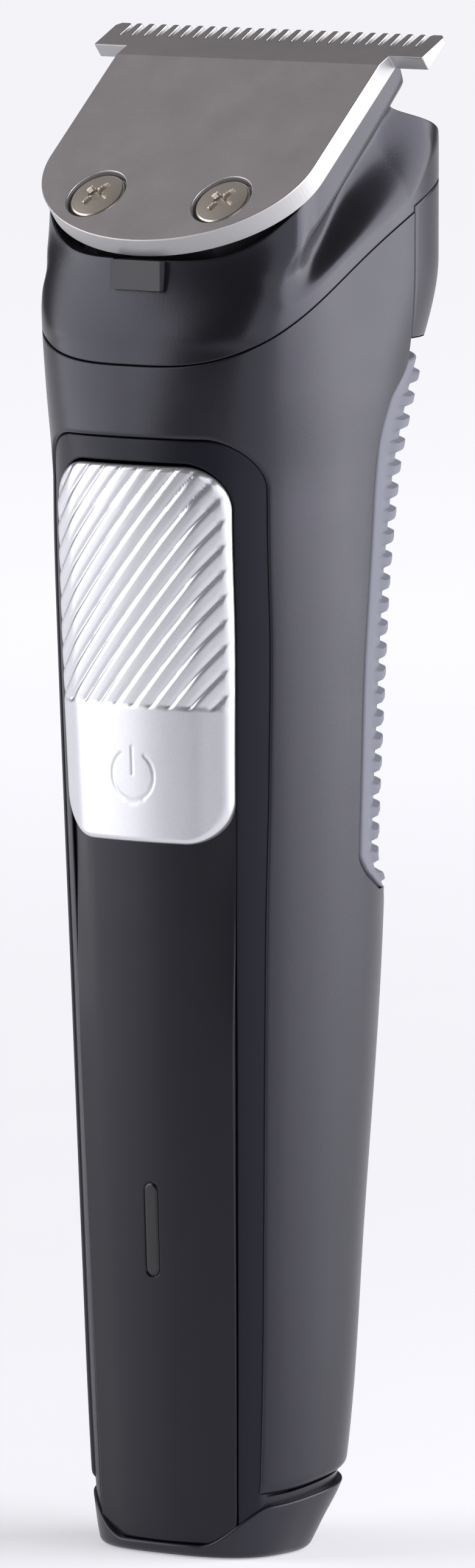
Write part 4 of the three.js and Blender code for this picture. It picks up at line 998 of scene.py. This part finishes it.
def head_shell():
    """Head: rings of the body's outline from the seam up to the blade, over the top and down the inside.

    Over a lip the side is hollowed by a smooth bump, whose depth grows from the front and closes near the
    back, and over the hollow stands a plain wall. The front leans in to meet the blade's nose. Columns come
    in pairs at the rear strip and at the slot for the tab.
    """
    edge, rim_edge, wall = 0.16, 0.12, 1.0
    hollow_depth, wall_set_back, least_inset = 2.8, 0.75, 0.3
    notch_half_left, notch_half_right = TAB_HALF + 0.35, TAB_HALF + 0.06
    strip_y = REAR_STRIP_Y - GAP
    strip_angle = float(angle_at_depth(strip_y, SEAM_Z + 15.0))
    notch_right = float(angle_at_side(notch_half_right, SEAM_Z + 8.0))
    notch_left = -math.pi - float(angle_at_side(notch_half_left, SEAM_Z + 8.0))
    tiny = 2e-4
    base = np.linspace(-math.pi / 2, 1.5 * math.pi, 361)[:-1]
    pairs = [strip_angle, math.pi - strip_angle, notch_right, notch_left + 2 * math.pi]
    angle = np.concatenate([base] + [[p - tiny, p + tiny] for p in pairs])
    angle = np.sort(np.where(angle < -math.pi / 2, angle + 2 * math.pi, angle))
    wrapped = np.where(angle > math.pi, angle - 2 * math.pi, angle)
    in_strip = (wrapped > strip_angle) & (wrapped < math.pi - strip_angle)
    in_notch = (wrapped > notch_left) & (wrapped < notch_right)

    y = on_body(angle, np.full_like(angle, NOSE_Z))[:, 1]
    for _ in range(6):
        start = seam_z(y) + SEAM_GAP + np.where(in_strip, REAR_STRIP_RISE, 0)
        y = on_body(angle, start)[:, 1]
    slope = math.tan(BLADE_ANGLE)
    top_y = y
    for _ in range(8):
        plate = BLADE_Z + (top_y - BLADE_Y) * slope
        under = plate - (BLADE_THICKNESS + 0.04) / math.cos(BLADE_ANGLE)
        top = np.minimum(under, np.interp(top_y, *HEAD_RIM.T))
        top_y = on_body(angle, top, least_inset)[:, 1]
    lip = seam_z(y) + np.interp(y, *HEAD_LIP.T)
    brow = plate - 7.6
    front = 1 - smooth(1.5, 6.0, y)
    notch_z = TAB_Z - 0.06
    low_line = lip + front * (notch_z - lip)
    high_line = brow + front * (notch_z + 2.6 - brow)
    low_line = np.minimum(low_line, top - 1.2)
    high_line = np.maximum(high_line, low_line + 0.6)
    hollow_top = np.minimum(high_line, top - 0.5)
    nose_inset = np.maximum(nose_gap(angle), least_inset) * (1 - smooth(6.0, 9.0, top_y))

    depth_at = smooth(1.5, 17.0, y) * (1 - smooth(23.5, 33.5, y)) * hollow_depth
    first = start[:, None] + EDGE_LINES * edge
    lower = first[:, -1:] + np.linspace(0, 1, 15)[1:-1] * (low_line[:, None] - 0.4 - first[:, -1:])
    ledge = low_line[:, None] + np.array([-0.4, -0.22, -0.1, -0.03, 0.0])
    bow = (1 - np.cos(np.linspace(0, math.pi, 34)[1:-1])) / 2
    hollow = low_line[:, None] + bow * (hollow_top - low_line)[:, None]
    upper = hollow_top[:, None] + np.linspace(0, 1, 10) * (top - hollow_top - 0.3)[:, None]
    last = top[:, None] - rim_edge * EDGE_LINES[3::-1] / EDGE_LINES[3]
    z = np.concatenate([first, lower, ledge, hollow, upper, last], 1)

    rise = (z - low_line[:, None]) / (high_line - low_line)[:, None]
    bump = smooth(-0.05, 0.60, rise) * (1 - smooth(0.60, 1.15, rise))
    wall_depth = wall_set_back * smooth(6.0, 9.0, top_y) * (1 - smooth(29.0, 33.0, y))
    inset = depth_at[:, None] * bump + wall_depth[:, None] * smooth(0.0, 1.0, rise)
    climb = (z - start[:, None]) / (top - start)[:, None]
    inset = inset + nose_inset[:, None] * smooth(0.15, 1.0, climb)
    inset = np.maximum(inset, rounded(z - start[:, None], edge))
    inset = inset + rounded(top[:, None] - z, rim_edge)
    front_face = (1 - smooth(1.0, 6.0, y))[:, None]
    inset = inset + front_face * 0.14 * (1 - smooth(SEAM_Z + 0.8, SEAM_Z + 2.2, z))
    outer = on_body(angle[:, None], z, inset)
    over_notch = in_notch[:, None] & (z > notch_z)
    outer[..., 1] += np.where(over_notch, TAB_RECESS, 0)
    away = np.where((wrapped < notch_left) & (wrapped > notch_left - 0.07), notch_left - 0.07, wrapped)
    away = np.where((wrapped > notch_right) & (wrapped < notch_right + 0.07), notch_right + 0.07, away)
    keep = slice(None, None, -3)
    inner = on_body(away[:, None], z[:, keep], inset[:, keep] + wall)
    inner[..., 1] += np.where(over_notch[:, keep], TAB_RECESS, 0)
    grid = np.concatenate([outer, inner], 1)
    return torus(grid.transpose(1, 0, 2))


def blade_outline():
    """Outline of the comb blade: a half-ellipse nose, straight sides, the bar and its blunt teeth.

    Each tooth is as wide as 0.70 of the pitch at its root and 0.46 at its tip, and the roots are scooped.
    """
    turn = np.linspace(math.pi, 2 * math.pi, 73)
    nose = np.stack([BLADE_HALF * np.cos(turn), BLADE_NOSE + BLADE_NOSE * np.sin(turn)], -1)
    centres = (np.arange(TOOTH_COUNT) - (TOOTH_COUNT - 1) / 2)[::-1] * TOOTH_PITCH
    root, tip = BAR_END - TOOTH_LENGTH, BAR_END
    tooth = np.array([[0.35, root + 0.25], [0.23, tip - 0.12], [0.15, tip], [-0.15, tip], [-0.23, tip - 0.12],
                      [-0.35, root + 0.25], [-0.42, root + 0.06], [-0.58, root + 0.06]])
    across = centres[:, None] + tooth[:, 0] * TOOTH_PITCH
    teeth = np.stack(np.broadcast_arrays(across, tooth[:, 1]), -1).reshape(-1, 2)[:-2]
    shoulder = centres[0] + 0.62 * TOOTH_PITCH
    right = [
        [BLADE_HALF, BAR_START], [BAR_HALF, BAR_START], [BAR_HALF, tip - 0.5], [BAR_HALF - 0.5, tip],
        [shoulder + 0.3, tip], [shoulder, tip - 0.3], [shoulder, root + 0.25], [shoulder - 0.1, root + 0.06],
    ]
    left = [[-x, a] for x, a in right[::-1]]
    return nose, np.array(right), teeth, np.array(left)


def comb_blade():
    """Comb blade: two flat upper faces that meet at the fold, a flat underside and a side wall between."""
    nose, right, teeth, left = blade_outline()
    fold_right, fold_left = np.array([[BLADE_HALF, BLADE_FOLD]]), np.array([[-BLADE_HALF, BLADE_FOLD]])
    path = np.concatenate([nose, fold_right, right, teeth, left, fold_left])
    drop = math.tan(BEVEL_ANGLE) * np.maximum(path[:, 1] - BLADE_FOLD, 0)
    upper = on_blade(path[:, 0], path[:, 1], -drop)
    lower = on_blade(path[:, 0], path[:, 1], np.full(len(path), -BLADE_THICKNESS))
    count, fold = len(path), len(nose)
    sides = [(i, (i + 1) % count, (i + 1) % count + count, i + count) for i in range(count)]
    plate = tuple(range(fold + 1)) + (count - 1,)
    bevel = tuple(range(fold, count))
    under = tuple(range(2 * count - 1, count - 1, -1))
    return np.concatenate([upper, lower]), sides + [plate, bevel, under]


def blade_tool(name, radius, x, low, high, sides=72):
    """Round cutting rod square to the blade."""
    turn = np.linspace(0, 2 * math.pi, sides + 1)[:-1]
    a, b = x + radius * np.cos(turn), SCREW_ALONG + radius * np.sin(turn)
    return mesh_object(name, *ring_solid(np.stack([on_blade(a, b, low), on_blade(a, b, high)])))


def screw_head(x):
    """Screw: a low crowned head with a rounded rim and a pressed cross, over its shank.

    Rings run from the middle of the crown out, down the rim and in to the shank. The cross is pressed in
    where the distance to either arm's line is under its half width, as far as the arm reaches.
    """
    centre_height, crown_fall, cross_depth, shank = 0.10, 0.34, 0.55, 1.4
    turn = np.linspace(0, 2 * math.pi, 145)[:-1]
    radius = np.concatenate([np.linspace(0.04, 1.9, 34), np.linspace(2.0, SCREW_RADIUS - SCREW_RIM, 5)])
    r, t = np.meshgrid(radius, turn, indexing="ij")
    u, v = r * np.cos(t + 0.5), r * np.sin(t + 0.5)
    arm = np.minimum(np.abs(u), np.abs(v))
    reach = np.maximum(np.abs(u), np.abs(v))
    cross = (1 - smooth(0.26, 0.40, arm)) * (1 - smooth(1.35, 1.65, reach))
    dimple = 1 - smooth(0.2, 0.95, r)
    crown = centre_height - crown_fall * (r / SCREW_RADIUS) ** 2
    height = crown - cross_depth * np.maximum(cross, 0.7 * dimple)
    rings = [on_blade(x + r * np.cos(t), SCREW_ALONG + r * np.sin(t), height)]
    rim_top = centre_height - crown_fall + 0.08
    bends = [(SCREW_RADIUS - SCREW_RIM * (1 - math.sin(bend)), rim_top - SCREW_RIM * (1 - math.cos(bend)))
             for bend in np.linspace(0.3, math.pi / 2, 4)]
    shank_top, shank_end = GAP - SCREW_SINK, -BLADE_THICKNESS - CARRIER_THICKNESS - GAP
    for ring_r, ring_h in bends + [(SCREW_RADIUS, shank_top), (shank, shank_top), (shank, shank_end)]:
        ring = on_blade(x + ring_r * np.cos(turn), SCREW_ALONG + ring_r * np.sin(turn), ring_h)
        rings.append(ring[None])
    return ring_solid(np.concatenate(rings))


# ---------------------------------------------------------------- assembly

def put(name, shape, body, finish, slot, *nodes):
    """Makes a piece from its points and faces, and finishes it."""
    return finished(mesh_object(name, *shape), body, finish, slot, *nodes)


put("front_shell", front_shell(), "handle", satin_black, "satin_black", "front_housing")
put("rear_shell", rear_shell(), "handle", satin_black, "satin_black", "rear_housing")
put("grip_sleeve", grip_sleeve(), "handle", grip_rubber, "grip_rubber", "grip_pad")
put("bezel_frame", bezel_frame(), "handle", bezel_black, "bezel_black", "front_bezel")
put("panel_cover", panel_cover(), "handle", panel_black, "panel_black", "front_panel")
put("status_lens", status_lens(), "handle", smoked_lens, "smoked_lens", "indicator_lens")
base = cut_base(mesh_object("base_cover", *base_cover()))
finished(base, "handle", satin_black, "satin_black", "base_cap")
put("slide_button", slide_button(), "switch", silver, "silver_paint", "switch_slider")
put("head_shell", head_shell(), "head", head_black, "satin_black", "head_housing")
sinks = []
for side, label in ((-SCREW_X, "left"), (SCREW_X, "right")):
    put("screw_" + label, screw_head(side), "head", screw_steel, "screw_steel", "blade_screw_" + label)
    sinks.append(blade_tool("sink_" + label, SCREW_RADIUS + GAP, side, -SCREW_SINK, 1.0))

blade = mesh_object("comb_blade", *comb_blade())
cut(blade, *sinks)
blade.data.shade_flat()
chamfer = blade.modifiers.new("chamfer", "BEVEL")
chamfer.width = BLADE_CHAMFER / 1000
chamfer.segments = 2
chamfer.limit_method = "ANGLE"
chamfer.angle_limit = math.radians(32)
chamfer.harden_normals = False
apply_modifiers(blade)
finished(blade, "head", blade_steel, "blade_steel", "fixed_blade")

NODE_FINISHES = {
    "base_screw_left": screw_steel, "base_screw_right": screw_steel, "charge_socket": can_steel,
    "socket_tongue": black_wire, "circuit_board": board_green, "charge_chip": black_wire,
    "indicator_led": white_plastic, "slide_switch_body": can_steel, "battery_cell": cell_sleeve,
    "battery_tab_top": copper, "battery_tab_bottom": copper, "chassis": inner_plastic,
    "motor_can": can_steel, "motor_end_bell": white_plastic, "motor_lead_red": red_wire,
    "motor_lead_black": black_wire, "neck_collar": inner_plastic, "neck_seal": grip_rubber,
    "switch_carriage": inner_plastic, "slide_switch_knob": white_plastic, "motor_shaft": screw_steel,
    "eccentric_hub": white_plastic, "drive_pin": screw_steel, "blade_carrier": tab_plastic,
    "tension_spring": screw_steel, "moving_cutter": blade_steel, "cutter_follower": white_plastic,
}
for node, finish in NODE_FINISHES.items():
    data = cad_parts[node].data
    data.materials.clear()
    data.materials.append(finish)

# ---------------------------------------------------------------- floor, light and camera

FLOOR_RADIUS = 9.0
DARK_SIDE = math.radians(12)  # azimuth at which the studio is darkest, from the front to the right
NEAR_GLOW = 0.42
FAR_GLOW = 0.85


def floor_disc():
    """Pale floor: a flat disc just under the base, which glows like a lit backdrop behind and beside it.

    The glow falls with the distance towards the darkest side of the studio, and rises with the distance from
    the trimmer.
    """
    turn = np.linspace(0, 2 * math.pi, 97)[:-1]
    ring = np.stack([FLOOR_RADIUS * np.cos(turn), FLOOR_RADIUS * np.sin(turn), 0 * turn - 0.0001], -1)
    mesh = bpy.data.meshes.new("floor")
    mesh.from_pydata(ring.tolist(), [], [tuple(range(96))])
    made = bpy.data.objects.new("floor", mesh)
    bpy.context.scene.collection.objects.link(made)
    finish = Finish("floor_white", (0.80, 0.80, 0.82), 0.5)
    soft = {"interpolation_type": "SMOOTHSTEP"}
    dark_way = (math.sin(DARK_SIDE), -math.cos(DARK_SIDE), 0)
    dot, length = {"operation": "DOT_PRODUCT"}, {"operation": "LENGTH"}
    ahead = finish.add("ShaderNodeVectorMath", dot, {0: finish.place, 1: dark_way}, "Value")
    glow = finish.add("ShaderNodeMapRange", soft, {
        "Value": ahead, "From Min": 0.10, "From Max": 0.55, "To Min": 1.0, "To Max": 0.15,
    })
    finish.set("Roughness", 0.5 + 0.1 * finish.noise(40.0))
    distance = finish.add("ShaderNodeVectorMath", length, {0: finish.place}, "Value")
    far = finish.add("ShaderNodeMapRange", soft, {
        "Value": distance, "From Min": 0.1, "From Max": 1.1, "To Min": NEAR_GLOW, "To Max": FAR_GLOW,
    })
    finish.set("Emission Color", finish.mix(glow * far, (0, 0, 0, 1), (0.96, 0.955, 1.0, 1)))
    finish.set("Emission Strength", 1.0)
    mesh.materials.append(finish.material)


def soft_box(name, azimuth, distance, width, low, high, brightness, colour=(1, 1, 1), tilt=0.0):
    """Rectangular lamp of even brightness that faces the trimmer.

    Azimuth 0 is the front and 90 the right side, in degrees; the power is pi times area times brightness.
    """
    lamp = bpy.data.lights.new(name, "AREA")
    lamp.shape = "RECTANGLE"
    lamp.size, lamp.size_y = width, high - low
    lamp.energy = math.pi * width * (high - low) * brightness
    lamp.color = colour
    a = math.radians(azimuth)
    made = bpy.data.objects.new(name, lamp)
    made.location = (math.sin(a) * distance, -math.cos(a) * distance, (low + high) / 2)
    made.rotation_euler = (math.pi / 2 - math.radians(tilt), 0, a)
    bpy.context.scene.collection.objects.link(made)


def studio():
    """Soft boxes left and right with a dark space between them, and a dim surround."""
    soft_box("left_box", -54, 0.70, 0.62, 0.0, 0.70, 2.8, (0.97, 0.97, 1.0))
    soft_box("near_box", 58, 0.80, 0.70, 0.0, 0.70, 1.3, (0.95, 0.96, 1.0))
    soft_box("right_box", 118, 0.70, 0.95, 0.0, 0.70, 4.5, (0.97, 0.97, 1.0))
    soft_box("top_box", -91, 0.50, 0.80, 0.35, 1.05, 0.27, (1.0, 0.97, 1.0), 52)
    world = bpy.data.worlds.new("surround")
    world.use_nodes = True
    background = next(n for n in world.node_tree.nodes if n.type == "BACKGROUND")
    background.inputs["Color"].default_value = (0.93, 0.93, 0.96, 1)
    background.inputs["Strength"].default_value = 0.10
    bpy.context.scene.world = world
    bpy.context.scene.view_settings.view_transform = "Standard"


CAMERA_AZIMUTH = math.radians(36.0)
CAMERA_ELEVATION = math.radians(5.98)
CAMERA_PLACE = (0.9075, -1.24858, 0.23912)
CAMERA_LENS = 350.8


def camera():
    """Long-lens camera to the right of the front, a little over the trimmer and looking down at it."""
    data = bpy.data.cameras.new("camera")
    data.lens = CAMERA_LENS
    data.sensor_width = 36
    data.clip_end = 50
    made = bpy.data.objects.new("camera", data)
    made.location = CAMERA_PLACE
    made.rotation_euler = (math.pi / 2 - CAMERA_ELEVATION, 0, CAMERA_AZIMUTH)
    bpy.context.scene.collection.objects.link(made)
    bpy.context.scene.camera = made


floor_disc()
studio()
camera()

bpy.context.view_layer.update()
